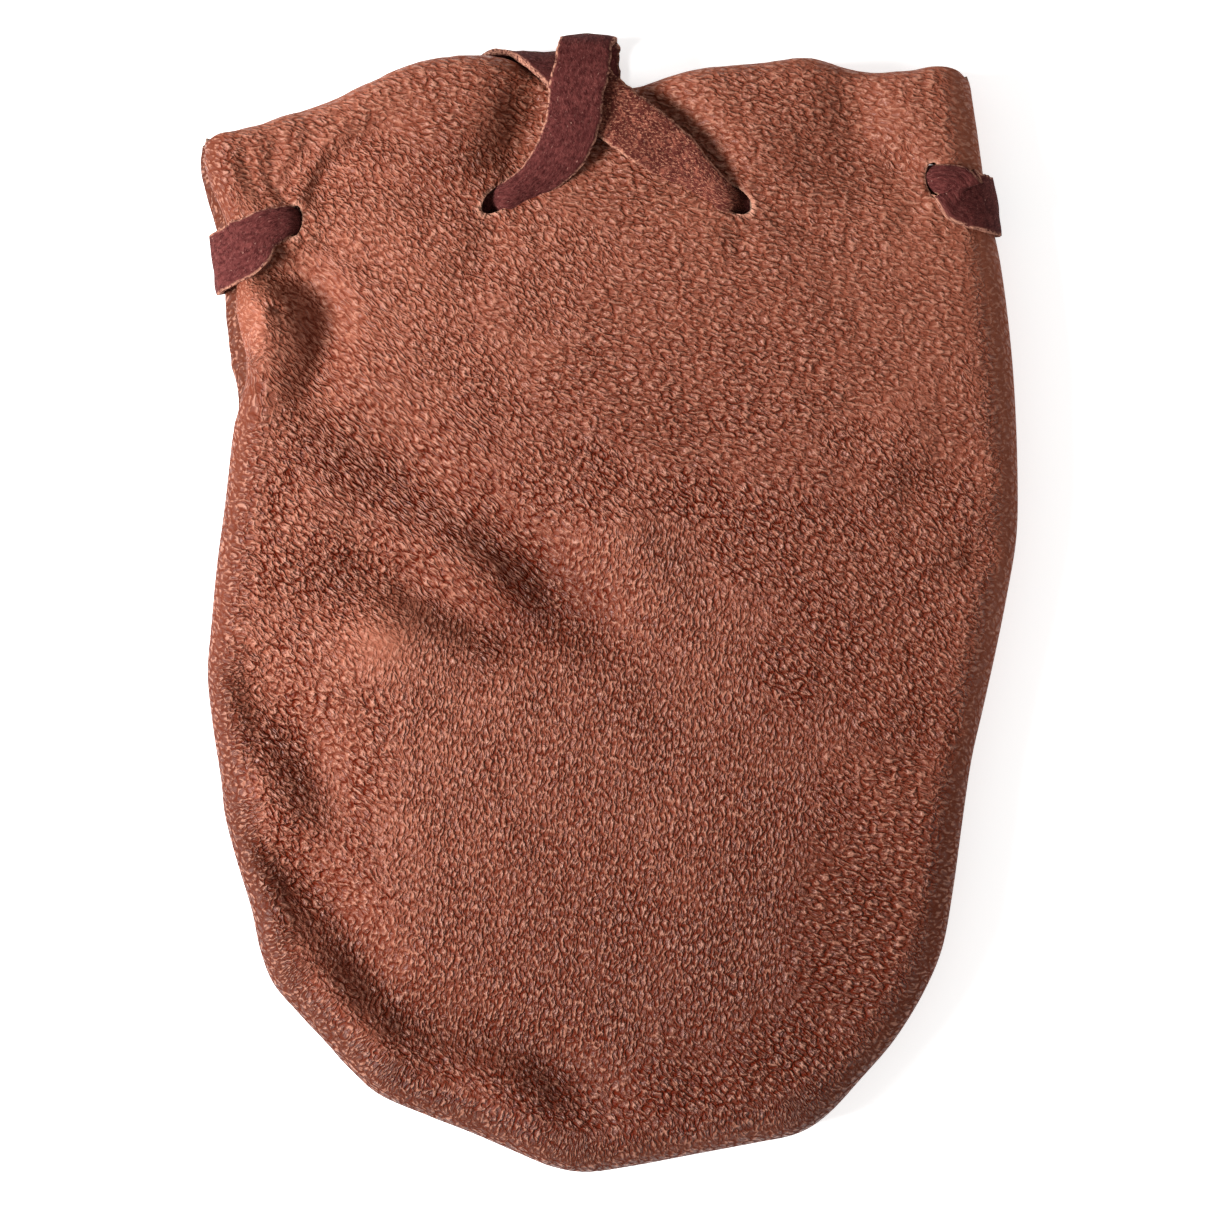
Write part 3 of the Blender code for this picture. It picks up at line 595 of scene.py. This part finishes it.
def build_back(finish):
    plain = back_section(0.0)
    lengths = lengths_along(plain)
    sheet = Sheet(BACK_SPACING, plain, 0.0)
    extra, d = sheet.extra, sheet.from_seam
    inset = inset_of(sheet.plan + sheet.into * extra)
    share = d / lengths[-1]
    reach, height = [], []
    for section in (back_section(level) for level in INSETS):
        own = lengths_along(section) / lengths_along(section)[-1]
        reach.append(np.interp(share, own, section[:, 0]))
        height.append(np.interp(share, own, section[:, 1]))
    reach, height = at_inset(inset, reach), at_inset(inset, height)
    bent = d < lengths[-1]
    plan = sheet.plan + sheet.into * np.where(bent, extra + reach - d, 0.0)[:, None]
    away = np.where(bent, reach, d - extra)
    under = back_under(plan, away)
    depth = np.clip(-height / SEAM_HEIGHT, 0.0, 1.0)
    z = SEAM_HEIGHT + height + under * depth ** 2
    points = np.column_stack([plan, z])
    normal = -sheet.gradient(points)
    s = sheet.along
    edge_zone = smoothstep(6.5, 9.0, d) * (1.0 - smoothstep(9.5, 12.0, d))
    fine = edge_zone * 0.12 * noise(s / 2.1, d / 6.0, 81)
    points += normal * fine[:, None]
    faces = sheet.faces(False)
    faces, cut = cut_holes(points, faces, plan, BACK_HOLES)
    fields = skin_fields(sheet, sheet.plan + BACK_HIDE, cut)
    # painted shade along the back's rolled edge on the left side, which faces the lamp
    painted_shade_left_edge = -8.0 * (1.0 - smoothstep(3.0, 7.0, away)) * (plan[:, 0] < 0.0)
    lays(fields, plan, away, sheet.from_rim, painted_shade_left_edge)
    points, faces, fields = trimmed(points, faces, fields)
    return finish_panel("back_panel_leather", points, faces, fields, finish)


def finish_panel(name, points, faces, fields, finish):
    piece = new_mesh(name, points, faces, finish)
    for key, values in fields.items():
        attribute(piece, key, values)
    # the flat cut: the skin's own coordinates, before it was turned and folded
    shell = piece.modifiers.new("leather", "SOLIDIFY")
    shell.thickness = LEATHER * MM
    shell.offset = -1.0
    shell.use_even_offset = False
    shell.material_offset = 1
    shell.material_offset_rim = 2
    return piece


# ------------------------------------------------------------------ the lace

STAND_OFF = LACE_GAP + LACE_THICKNESS / 2
FORWARD = (0.0, 1.0, 0.0)
LEFTWARD = (-1.0, 0.0, 0.0)
ALONG_LEFT_EDGE = (-0.16, 1.0, 0.0)
ALONG_RIGHT_EDGE = (-0.13, 1.0, 0.0)
ON_TABLE = 0.7
PASS_REACH = 0.9         # half the distance along X in which the lace goes through a hole
PASS_EASE = 0.1          # how far short of its full height the lace is at the hole's edges

# The lace between the holes: place and width
HOLE_1_TO_0 = [(-20.0, 63.2, LACE_NEAR_HOLE), (-26.0, 62.6, LACE_WIDTH), (-40.0, 61.2, LACE_WIDTH),
               (-46.0, 60.2, LACE_NEAR_HOLE)]
HOLE_1_TO_2 = [(-13.4, 63.4, LACE_NEAR_HOLE), (-8.0, 63.5, LACE_WIDTH), (10.0, 63.5, LACE_WIDTH),
               (15.8, 63.2, LACE_NEAR_HOLE)]
HOLE_2_TO_3 = [(22.6, 63.2, LACE_NEAR_HOLE), (28.0, 63.6, LACE_WIDTH), (41.0, 64.8, LACE_WIDTH),
               (47.6, 65.6, LACE_NEAR_HOLE)]
LEFT_OF_HOLE_0 = (-53.4, 58.2, 6.4)
RIGHT_OF_HOLE_3 = (54.2, 65.2, 6.4)


def over(x, y, more=0.0):
    return float(front_top([(x, y)])[0]) + STAND_OFF + more


def inside_front(x, y):
    return float(front_top([(x, y)])[0]) - LEATHER - STAND_OFF - 0.5


def back_face(x, y):
    plan = np.array([(x, y)], dtype=float)
    away, _ = nearest(OUTLINE, plan)
    return float(back_under(plan, away)[0])


def inside_back(x, y):
    return back_face(x, y) + LEATHER + STAND_OFF + 0.3


def under(x, y):
    return max(ON_TABLE, back_face(x, y) - STAND_OFF - 0.3)


def run(layer, points):
    """A stretch of the lace that lies on one layer, through points of (x, y, width)."""
    return [(x, y, layer(x, y), width, FORWARD) for x, y, width in points]


def through(number, heading, before, after):
    """The lace squeezed through a hole, from one layer to another."""
    x, y = HOLES[number]
    start, end = before(x, y), after(x, y)
    way = np.sign(end - start)
    return [
        (x - heading * PASS_REACH, y, start + way * PASS_EASE, LACE_IN_HOLE, FORWARD),
        (x, y, 0.5 * (start + end), LACE_IN_HOLE, FORWARD),
        (x + heading * PASS_REACH, y, end - way * PASS_EASE, LACE_IN_HOLE, FORWARD),
    ]


def edge_x(side, y):
    half = OUTLINE[OUTLINE[:, 0] * side > 20.0]
    order = np.argsort(half[:, 1])
    return float(np.interp(y, half[order, 1], half[order, 0]))


def wrap(side, front, y_edge, y_flat, across):
    """The lace round an edge of the bag, from the seam's plane to the flat of one panel."""
    layer = over if front else under
    width = FRONT_WIDTH if front else BACK_WIDTH
    base = SEAM_HEIGHT + (FOLD_RADIUS if front else -FOLD_RADIUS)
    made = []
    for angle in np.radians((0.0, 25.0, 50.0, 75.0)):
        y = y_edge + (y_flat - y_edge) * (1.0 - np.cos(angle))
        centre = edge_x(side, y) - side * width
        rise = layer(centre, y) - base
        made.append((centre + side * (width + STAND_OFF + 0.2) * np.cos(angle), y,
                     base + rise * np.sin(angle), LACE_WIDTH, across))
    return made


def lace_route():
    """The whole loop: under the rim, over it, through the holes, round both edges and the back.

    Also the first and the last point of the stretch that shows its worn face: from the last hole
    to the rim.
    """
    fold_left = [
        (-2.3, 75.6, ON_TABLE, LACE_WIDTH, LEFTWARD),
        (-2.5, 82.0, ON_TABLE, LACE_WIDTH, LEFTWARD),
        (-2.8, 85.6, 1.2, LACE_WIDTH, LEFTWARD),
        (-3.0, 87.5, 2.4, LACE_WIDTH, LEFTWARD),
        (-3.1, 88.2, 4.6, LACE_WIDTH, LEFTWARD),
    ]
    strap_left = [
        (-3.1, 88.4, 8.0, 8.6, LEFTWARD),
        (-3.2, 88.1, 12.0, 8.2, (-1.0, 0.0, 0.08)),
        (-3.5, 86.9, 14.6, 8.0, (-1.0, 0.0, 0.1)),
        (-4.2, 83.6, 15.7, 8.6, (-1.0, 0.05, 0.06)),
        (-5.0, 78.6, 15.7, 8.7, (-0.99, 0.1, 0.0)),
        (-5.8, 73.6, 15.4, 8.5, (-0.95, 0.3, 0.0)),
        (-8.2, 69.0, 14.9, 7.6, (-0.78, 0.62, 0.0)),
        (-12.2, 65.4, 14.3, 5.2, (-0.5, 0.86, 0.1)),
    ]
    left = [
        *through(1, -1, over, inside_front),
        *run(inside_front, HOLE_1_TO_0),
        *through(0, -1, inside_front, over),
        *run(over, [LEFT_OF_HOLE_0]),
        *reversed(wrap(-1, True, 53.0, 56.6, ALONG_LEFT_EDGE)),
    ]
    back = [
        *wrap(-1, False, 53.0, 56.6, ALONG_LEFT_EDGE),
        *run(under, [LEFT_OF_HOLE_0]),
        *through(0, 1, under, inside_back),
        *run(inside_back, reversed(HOLE_1_TO_0)),
        *through(1, 1, inside_back, under),
        *run(under, HOLE_1_TO_2),
        *through(2, 1, under, inside_back),
        *run(inside_back, HOLE_2_TO_3),
        *through(3, 1, inside_back, under),
        *run(under, [RIGHT_OF_HOLE_3]),
        *reversed(wrap(1, False, 62.0, 64.0, ALONG_RIGHT_EDGE)),
    ]
    right = [
        *wrap(1, True, 62.0, 64.0, ALONG_RIGHT_EDGE),
        *run(over, [RIGHT_OF_HOLE_3]),
        *through(3, -1, over, inside_front),
        *run(inside_front, reversed(HOLE_2_TO_3)),
        *through(2, -1, inside_front, over),
    ]
    strap_right = [
        (15.0, 65.6, over(15.0, 65.6, 0.2), 5.6, (0.5, 0.85, 0.1)),
        (10.6, 69.2, over(10.6, 69.2, 0.4), 8.0, (0.62, 0.78, 0.05)),
        (5.6, 73.0, over(5.6, 73.0, 0.9), LACE_WIDTH, (0.6, 0.8, -0.05)),
        (1.2, 76.4, 13.9, LACE_WIDTH, (0.6, 0.8, -0.1)),
        (-2.0, 79.0, 13.9, LACE_WIDTH, (0.62, 0.77, -0.1)),
        (-4.4, 81.3, 13.1, LACE_WIDTH, (0.64, 0.71, -0.29)),
        (-7.0, 83.6, 11.8, LACE_WIDTH, (0.66, 0.53, -0.53)),
        (-9.6, 85.2, 9.6, LACE_WIDTH, (0.67, 0.28, -0.68)),
        (-12.1, 85.9, 7.1, LACE_WIDTH, (0.7, 0.0, -0.71)),
        (-14.3, 85.5, 4.8, LACE_WIDTH, (0.78, -0.24, -0.58)),
        (-16.2, 84.2, 2.7, LACE_WIDTH, (0.87, -0.35, -0.35)),
        (-17.7, 82.1, 1.3, LACE_WIDTH, (0.95, -0.28, -0.12)),
        (-18.8, 79.3, ON_TABLE, LACE_WIDTH, (1.0, -0.1, 0.0)),
        (-19.5, 75.6, ON_TABLE, LACE_WIDTH, (1.0, 0.0, 0.0)),
    ]
    before = fold_left + strap_left + left + back + right
    return before + strap_right, (len(before) - 3, len(before) + 5)


TAILS = {
    "left": [(-2.3, 75.0), (-2.0, 60.0), (-0.6, 42.0), (1.4, 24.0), (2.6, 6.0), (2.0, -12.0),
             (0.2, -28.0), (-0.6, -38.0)],
    "right": [(-19.5, 75.0), (-19.7, 60.0), (-20.6, 42.0), (-22.0, 24.0), (-22.6, 6.0),
              (-21.6, -10.0), (-19.8, -24.0), (-19.0, -32.0)],
}


def lace_section(count):
    """A flat section with round edges, in halves of its width and thickness: (across, up)."""
    side = np.linspace(-1.0, 1.0, count)
    top = 1.0 - 0.25 * abs(side) ** 6
    return np.vstack([np.column_stack([side, top]), (1.0, 0.0),
                      np.column_stack([side, -top])[::-1], (-1.0, 0.0)])


def make_lace(name, route, finish, seed, worn_points=None):
    """A suede lace along its route, with uneven cut edges."""
    values = np.array([[x, y, z, width, *across] for x, y, z, width, across in route])
    span = 10
    curve = spline(values, span)
    length = lengths_along(curve[:, :3])
    step = 0.4
    count = int(round(length[-1] / step))
    wanted = np.linspace(0.0, length[-1], count + 1)
    rows = np.stack([np.interp(wanted, length, column) for column in curve.T], axis=1)
    for _ in range(3):
        rows[1:-1] = (rows[:-2] + 2 * rows[1:-1] + rows[2:]) / 4.0
    places = rows[:, :3]
    ahead = np.gradient(places, axis=0)
    ahead /= np.linalg.norm(ahead, axis=1, keepdims=True)
    across = rows[:, 4:7] - (rows[:, 4:7] * ahead).sum(1, keepdims=True) * ahead
    across /= np.linalg.norm(across, axis=1, keepdims=True)
    up = np.cross(ahead, across)
    section = lace_section(13)
    around = len(section)
    half = 0.5 * rows[:, 3]
    bunch = np.clip((LACE_WIDTH - rows[:, 3]) * 0.22, 0.0, 1.1)
    s = wanted
    wear_and_highlight = 0.0 * s
    if worn_points:
        first, last = (length[span * point] for point in worn_points)
        wear_and_highlight = (smoothstep(first - 3.0, first + 2.0, s)
                * (1.0 - smoothstep(last - 3.0, last + 3.0, s)))
    low_edge, high_edge = [
        1.0 + 0.05 * noise(s / 1.9, 0.0 * s + row, seed + k)
        + 0.035 * noise(s / 0.6, 0.0 * s + row, seed + k + 1)
        + 0.06 * np.clip(noise(s / 0.9, 0.0 * s + row + 3.0, seed + k) - 0.35, 0.0, 1.0)
        for row, k in ((0.5, 0), (7.5, 2))]
    points, lie_at = [], []
    for k in range(count + 1):
        x = section[:, 0] * np.where(section[:, 0] > 0, high_edge[k], low_edge[k]) * half[k]
        rough = 0.1 * noise(np.full(around, s[k] / 1.0), section[:, 0] * 3.0 + 20.0, seed + 4)
        thick = LACE_THICKNESS / 2 * section[:, 1]
        cup = bunch[k] * (section[:, 0] ** 2 - 0.5)
        wave = 0.16 * noise(np.full(around, s[k] / 5.0), section[:, 0] * 1.3 + 50.0, seed + 5)
        z = thick + rough * np.sign(section[:, 1] + 1e-9) + cup + wave
        points.append(places[k] + np.outer(x, across[k]) + np.outer(z, up[k]))
        lie_at.append(np.column_stack([section[:, 0], np.full(around, s[k]), section[:, 1]]))
    points, lie_at = np.vstack(points), np.vstack(lie_at)
    faces = []
    for k in range(count):
        a = k * around
        for i in range(around):
            j = (i + 1) % around
            faces.append((a + i, a + j, a + around + j, a + around + i))
    faces.append(tuple(range(around))[::-1])
    faces.append(tuple(range(count * around, (count + 1) * around)))
    piece = new_mesh(name, points, faces, finish)
    attribute(piece, "lie", lie_at)
    attribute(piece, "wear_and_highlight", np.repeat(wear_and_highlight, around))
    return piece, places


# ------------------------------------------------------------------ materials

class Tree:
    """Short names for building a material's nodes."""

    def __init__(self, name):
        self.material = bpy.data.materials.new(name)
        self.material.use_nodes = True
        self.nodes = self.material.node_tree.nodes
        self.links = self.material.node_tree.links
        self.shader = self.nodes["Principled BSDF"]

    def put(self, socket, value):
        if isinstance(value, bpy.types.NodeSocket):
            self.links.new(value, socket)
        elif isinstance(value, (tuple, list)) and len(value) == 3 and socket.type == "RGBA":
            socket.default_value = (*value, 1.0)
        else:
            socket.default_value = value

    def add(self, kind, inputs=None, output=0, **settings):
        node = self.nodes.new(kind)
        for key, value in settings.items():
            setattr(node, key, value)
        for key, value in (inputs or {}).items():
            self.put(node.inputs[key], value)
        return node.outputs[output]

    def attribute(self, name, output="Fac"):
        return self.add("ShaderNodeAttribute", output=output, attribute_name=name)

    def math(self, operation, a, b=0.0, clamp=False):
        return self.add("ShaderNodeMath", {0: a, 1: b}, operation=operation, use_clamp=clamp)

    def times(self, a, b, clamp=False):
        return self.math("MULTIPLY", a, b, clamp)

    def plus(self, a, b, clamp=False):
        return self.math("ADD", a, b, clamp)

    def rest(self, a, clamp=False):
        """What is left of 1 after a."""
        return self.math("SUBTRACT", 1.0, a, clamp)

    def vector(self, operation, a, b=(0.0, 0.0, 0.0)):
        return self.add("ShaderNodeVectorMath", {0: a, 1: b}, operation=operation)

    def step(self, value, low, high, start=0.0, end=1.0):
        return self.add("ShaderNodeMapRange", {"Value": value, "From Min": low, "From Max": high,
                                               "To Min": start, "To Max": end},
                        interpolation_type="SMOOTHSTEP")

    def mix(self, share, a, b):
        return self.add("ShaderNodeMix", {0: share, 6: a, 7: b}, output=2, data_type="RGBA")

    def lerp(self, share, a, b):
        return self.add("ShaderNodeMix", {0: share, 2: a, 3: b}, data_type="FLOAT")

    def noise(self, vector, scale, detail=2.0, roughness=0.5, output="Fac", dimensions="2D"):
        return self.add("ShaderNodeTexNoise", {"Vector": vector, "Scale": scale, "Detail": detail,
                                               "Roughness": roughness}, output=output,
                        noise_dimensions=dimensions)

    def cells(self, vector, scale):
        """How far each place is from the edges of its cell."""
        return self.add("ShaderNodeTexVoronoi",
                        {"Vector": vector, "Scale": scale, "Randomness": 1.0},
                        output="Distance", feature="DISTANCE_TO_EDGE", voronoi_dimensions="2D")

    def bump(self, strength, distance, height):
        normal = self.add("ShaderNodeBump", {"Strength": strength, "Distance": distance,
                                             "Height": height})
        self.put(self.shader.inputs["Normal"], normal)

    def turned(self, vector, degrees, scale):
        turned = self.add("ShaderNodeVectorRotate",
                          {"Vector": vector, "Angle": np.radians(degrees)}, rotation_type="Z_AXIS")
        return self.vector("MULTIPLY", turned, scale)


def leather(name, light, dark, crevice):
    """Pebbled grain: each lay of the skin has its own lumps and scales, blended by its share."""
    t = Tree(name)
    skin = t.attribute("skin", "Vector")
    edge = t.attribute("edge", "Vector")
    lay = t.add("ShaderNodeSeparateXYZ", {0: t.attribute("lay", "Vector")}).node
    level = t.attribute("level")
    smooth = t.attribute("smooth")
    warp = t.vector("SUBTRACT", t.noise(skin, 0.5, 1.0, 0.5, "Color"), (0.5, 0.5, 0.5))
    warped = t.vector("ADD", skin, t.vector("MULTIPLY", warp, (0.7, 0.7, 0.0)))
    warped_edge = t.vector("ADD", edge, t.vector("MULTIPLY", warp, (0.8, 1.2, 0.0)))
    plain = t.rest(t.plus(t.plus(lay.outputs[0], lay.outputs[1]),
                          t.plus(lay.outputs[2], level)), True)
    # share, place, size of the lumps, size of the cracked scales, darkness of the cracks
    ways = [
        (plain, t.turned(warped, 36.0, (0.62, 1.0, 1.0)), 0.52, 1.20, 0.90),
        (lay.outputs[0], t.vector("MULTIPLY", warped_edge, (1.0, 0.6, 1.0)), 0.50, 1.0, 0.35),
        (lay.outputs[1], t.turned(warped, 8.0, (1.0, 0.60, 1.0)), 0.50, 1.0, 0.40),
        (lay.outputs[2], t.turned(warped, 40.0, (0.36, 1.0, 1.0)), 0.42, 0.9, 0.85),
        (level, t.turned(warped, 10.0, (0.46, 1.0, 1.0)), 0.50, 1.0, 0.9),
    ]
    total, lumps, depth = 0.0, 0.0, 0.0
    for share, place, lump_size, scale_size, crack_depth in ways:
        cells = t.cells(place, 1.0 / scale_size)
        lump = t.step(t.noise(place, 1.0 / lump_size, 1.4, 0.5), 0.24, 0.76)
        total = t.plus(total, t.times(share, cells))
        lumps = t.plus(lumps, t.times(share, lump))
        depth = t.plus(depth, t.times(share, crack_depth))
    broken = t.step(t.noise(skin, 0.85, 2.0, 0.6), 0.38, 0.54)
    pebble = t.step(total, 0.0, t.lerp(broken, 0.02, 0.19))
    mound = t.step(total, 0.0, 0.40)
    crack = t.times(t.rest(pebble), t.times(depth, broken))
    # longer creases that run down to the right across many pebbles
    crease = t.cells(t.turned(warped, 37.0, (0.36, 1.0, 1.0)), 1.0 / 1.9)
    crease = t.rest(t.step(crease, 0.0, 0.075))
    creased = t.step(t.noise(skin, 0.3, 2.0, 0.6), 0.46, 0.60)
    quiet = t.rest(t.math("MAXIMUM", lay.outputs[1], level))
    crease = t.times(crease, t.times(creased, quiet))
    crack = t.math("MAXIMUM", crack, t.times(crease, 0.9))
    dust = t.noise(skin, 3.2, 3.0, 0.6)
    height = t.math("SUBTRACT", 0.18, t.times(crack, 0.18))
    height = t.plus(height, t.times(mound, 0.10))
    height = t.plus(height, t.times(lumps, 0.56))
    height = t.plus(height, t.times(dust, 0.12))
    calm = t.rest(t.times(smooth, 0.88))
    calm = t.times(calm, t.step(t.noise(skin, 0.11, 3.0, 0.6), 0.3, 0.62, 0.75, 1.0))
    relief = t.times(height, calm)
    t.bump(1.0, 0.00082, relief)
    tone_and_painted_light = t.attribute("tone_and_painted_light")
    slow = t.noise(skin, 0.055, 3.0, 0.55)
    # painted light and shade read from the field: the leather goes from its dark colour to its
    # light one as the field rises, with slow noise for its own uneven colour; where the field is
    # below zero it goes on to a much darker brown
    base = t.mix(t.plus(t.times(tone_and_painted_light, 0.8), t.times(slow, 0.25), True), dark, light)
    base = t.mix(t.times(tone_and_painted_light, -1.0, True), base, tuple(0.35 * c for c in dark))
    # painted shade, partly the leather's own darker crevices: the grain's low places and its cracks
    # are darkened toward the crevice colour
    hollow = t.rest(t.step(height, 0.34, 0.66))
    shade = t.plus(t.times(crack, 0.78), t.times(hollow, 0.58), True)
    color = t.mix(t.times(shade, calm), base, crevice)
    # painted highlight, not wear: the high tops of the pebbles are made lighter and whiter, as a
    # sheen
    wear_and_highlight = t.times(t.step(height, 0.58, 0.80), 0.55)
    color = t.mix(wear_and_highlight, color, tuple(c * more for c, more in zip(light, (1.28, 1.72, 1.90))))
    color = t.mix(t.step(t.attribute("cut"), 0.66, 0.98, 0.0, 0.6), color, (0.52, 0.25, 0.17))
    t.put(t.shader.inputs["Base Color"], color)
    t.put(t.shader.inputs["Roughness"], t.lerp(pebble, 0.6, t.lerp(dust, 0.36, 0.50)))
    shine = t.lerp(t.times(pebble, mound), 0.02, 0.40)
    t.put(t.shader.inputs["Specular IOR Level"], t.times(calm, shine))
    return t.material


def flesh_side(name, light, dark):
    """The rough inside of the leather, and its cut edges."""
    t = Tree(name)
    skin = t.attribute("skin", "Vector")
    fibres = t.noise(t.turned(skin, 30.0, (1.0, 0.4, 1.0)), 2.4, 4.0, 0.65)
    slow = t.noise(skin, 0.12, 2.0)
    share = t.plus(t.times(fibres, 0.7), t.times(slow, 0.3))
    t.put(t.shader.inputs["Base Color"], t.mix(t.step(share, 0.3, 0.7), dark, light))
    t.put(t.shader.inputs["Roughness"], 0.92)
    t.bump(0.8, 0.00018, fibres)
    return t.material


def suede(name):
    t = Tree(name)
    lie_at = t.attribute("lie", "Vector")
    across = t.add("ShaderNodeSeparateXYZ", {0: lie_at}, output="X")
    place = t.vector("MULTIPLY", lie_at, (4.5, 1.0, 1.0))
    drawn = t.vector("MULTIPLY", place, (1.0, 0.7, 1.0))
    nap = t.noise(drawn, 1.7, 5.0, 0.7, dimensions="3D")
    patches = t.noise(place, 0.34, 3.0, 0.6, dimensions="3D")
    specks = t.noise(drawn, 1.9, 4.0, 0.7, dimensions="3D")
    base = t.mix(t.step(nap, 0.33, 0.68), (0.032, 0.0048, 0.0046), (0.110, 0.027, 0.024))
    base = t.mix(t.step(patches, 0.4, 0.7, 0.0, 0.5), base, (0.055, 0.0110, 0.0105))
    # the other face is lighter and more worn
    worn_face = t.attribute("wear_and_highlight")
    strands = t.noise(t.turned(place, 24.0, (1.0, 0.3, 1.0)), 2.6, 3.0, 0.65)
    wear_and_highlight = t.mix(t.step(t.plus(t.times(nap, 0.6), t.times(strands, 0.4)),
                        0.44, 0.62), (0.050, 0.0088, 0.0064), (0.250, 0.076, 0.048))
    wear_and_highlight = t.mix(t.step(patches, 0.42, 0.62, 0.0, 0.7), wear_and_highlight, (0.075, 0.0155, 0.0110))
    base = t.mix(t.times(worn_face, 0.9), base, wear_and_highlight)
    base = t.mix(t.step(specks, 0.62, 0.74, 0.0, 0.8), base, (0.36, 0.175, 0.140))
    flecks = t.noise(t.turned(place, -30.0, (1.0, 0.45, 1.0)), 3.6, 3.0, 0.7)
    flecks = t.times(t.step(flecks, 0.56, 0.66), t.lerp(worn_face, 0.3, 0.75))
    base = t.mix(flecks, base, t.mix(worn_face, (0.200, 0.072, 0.062), (0.430, 0.185, 0.115)))
    rim = t.step(t.math("ABSOLUTE", across), 0.9, 0.985)
    fray = t.step(t.noise(place, 2.2, 3.0, 0.6, dimensions="3D"), 0.36, 0.6)
    base = t.mix(t.times(rim, fray), base, (0.40, 0.185, 0.125))
    t.put(t.shader.inputs["Base Color"], base)
    t.put(t.shader.inputs["Roughness"], 0.95)
    t.put(t.shader.inputs["Specular IOR Level"], 0.08)
    t.bump(1.0, 0.0003, t.plus(nap, t.times(specks, 0.5)))
    return t.material


def thread_finish(name):
    t = Tree(name)
    place = t.add("ShaderNodeTexCoord", output="Object")
    twist = t.add("ShaderNodeTexWave", {"Vector": place, "Scale": 900.0, "Distortion": 1.5},
                  output="Fac", bands_direction="DIAGONAL")
    t.put(t.shader.inputs["Base Color"], t.mix(twist, (0.10, 0.035, 0.022), (0.26, 0.12, 0.08)))
    t.put(t.shader.inputs["Roughness"], 0.6)
    t.bump(0.6, 0.00008, twist)
    return t.material


def table_top():
    t = Tree("pale_table")
    place = t.add("ShaderNodeTexCoord", output="Object")
    speck = t.noise(place, 60.0, 3.0, 0.5, dimensions="3D")
    t.put(t.shader.inputs["Base Color"], t.mix(speck, (0.90, 0.90, 0.90), (0.93, 0.93, 0.93)))
    t.put(t.shader.inputs["Roughness"], 0.7)
    t.put(t.shader.inputs["Specular IOR Level"], 0.1)
    t.put(t.shader.inputs["Emission Color"], (1.0, 1.0, 1.0))
    t.put(t.shader.inputs["Emission Strength"], 0.60)
    return t.material


# ------------------------------------------------------------------ camera, light and table

def stage_scene():
    scene = bpy.context.scene
    scene.view_settings.view_transform = "Standard"
    camera = bpy.data.objects.new("camera", bpy.data.cameras.new("camera"))
    camera.data.sensor_width = 36.0
    camera.data.lens = 188.0
    camera.data.clip_start = 0.02
    camera.location = (-0.0002, -0.0005, 1.0)
    scene.collection.objects.link(camera)
    scene.camera = camera
    world = bpy.data.worlds.new("studio")
    world.use_nodes = True
    world.node_tree.nodes["Background"].inputs["Color"].default_value = (1.0, 0.985, 0.97, 1.0)
    world.node_tree.nodes["Background"].inputs["Strength"].default_value = 0.50
    scene.world = world
    lamp = bpy.data.objects.new("key", bpy.data.lights.new("key", "AREA"))
    lamp.data.size = 0.36
    lamp.data.energy = 16.5
    lamp.location = (-0.62, -0.10, 0.48)
    lamp.rotation_euler = (-lamp.location).to_track_quat("-Z", "Y").to_euler()
    scene.collection.objects.link(lamp)
    side, level = 2000.0, -0.05
    corners = [(x * side, y * side, level) for x, y in ((-1, -1), (1, -1), (1, 1), (-1, 1))]
    floor = new_mesh("table", corners, [(0, 1, 2, 3)], [table_top()])


stage_scene()

front_leather = leather("front_leather_grain", (0.272, 0.0905, 0.0545), (0.142, 0.0390, 0.0218),
                        (0.076, 0.0078, 0.0022))
back_leather = leather("back_leather_grain", (0.265, 0.0900, 0.0550), (0.142, 0.0400, 0.0222),
                       (0.076, 0.0078, 0.0022))
inside = flesh_side("leather_flesh_side", (0.16, 0.085, 0.055), (0.08, 0.033, 0.02))
cut_edge = flesh_side("leather_cut_edge", (0.24, 0.13, 0.085), (0.12, 0.055, 0.034))
suede_finish = suede("suede_lace_nap")

route, worn_points = lace_route()
lace, lace_path = make_lace("drawcord_loop", route, [suede_finish], 101, worn_points)
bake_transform(lace)
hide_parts("drawcord_front_left", "drawcord_front_right", "drawcord_back",
            "drawcord_fold_left", "drawcord_fold_right")
for side, plan in TAILS.items():
    route = [(x, y, ON_TABLE, LACE_WIDTH, LEFTWARD) for x, y in plan]
    tail, tail_path = make_lace(f"drawcord_end_{side}", route, [suede_finish], 130)
    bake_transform(tail)
    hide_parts(f"drawcord_tail_{side}")

front = build_front([front_leather, inside, cut_edge])
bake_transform(front)
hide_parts("front_panel")

back = build_back([back_leather, inside, cut_edge])
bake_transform(back)
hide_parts("back_panel")

thread = thread_finish("waxed_thread")
for name in ("needle_thread", "bobbin_thread"):
    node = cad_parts[name]
    node.data.materials.clear()
    node.data.materials.append(thread)
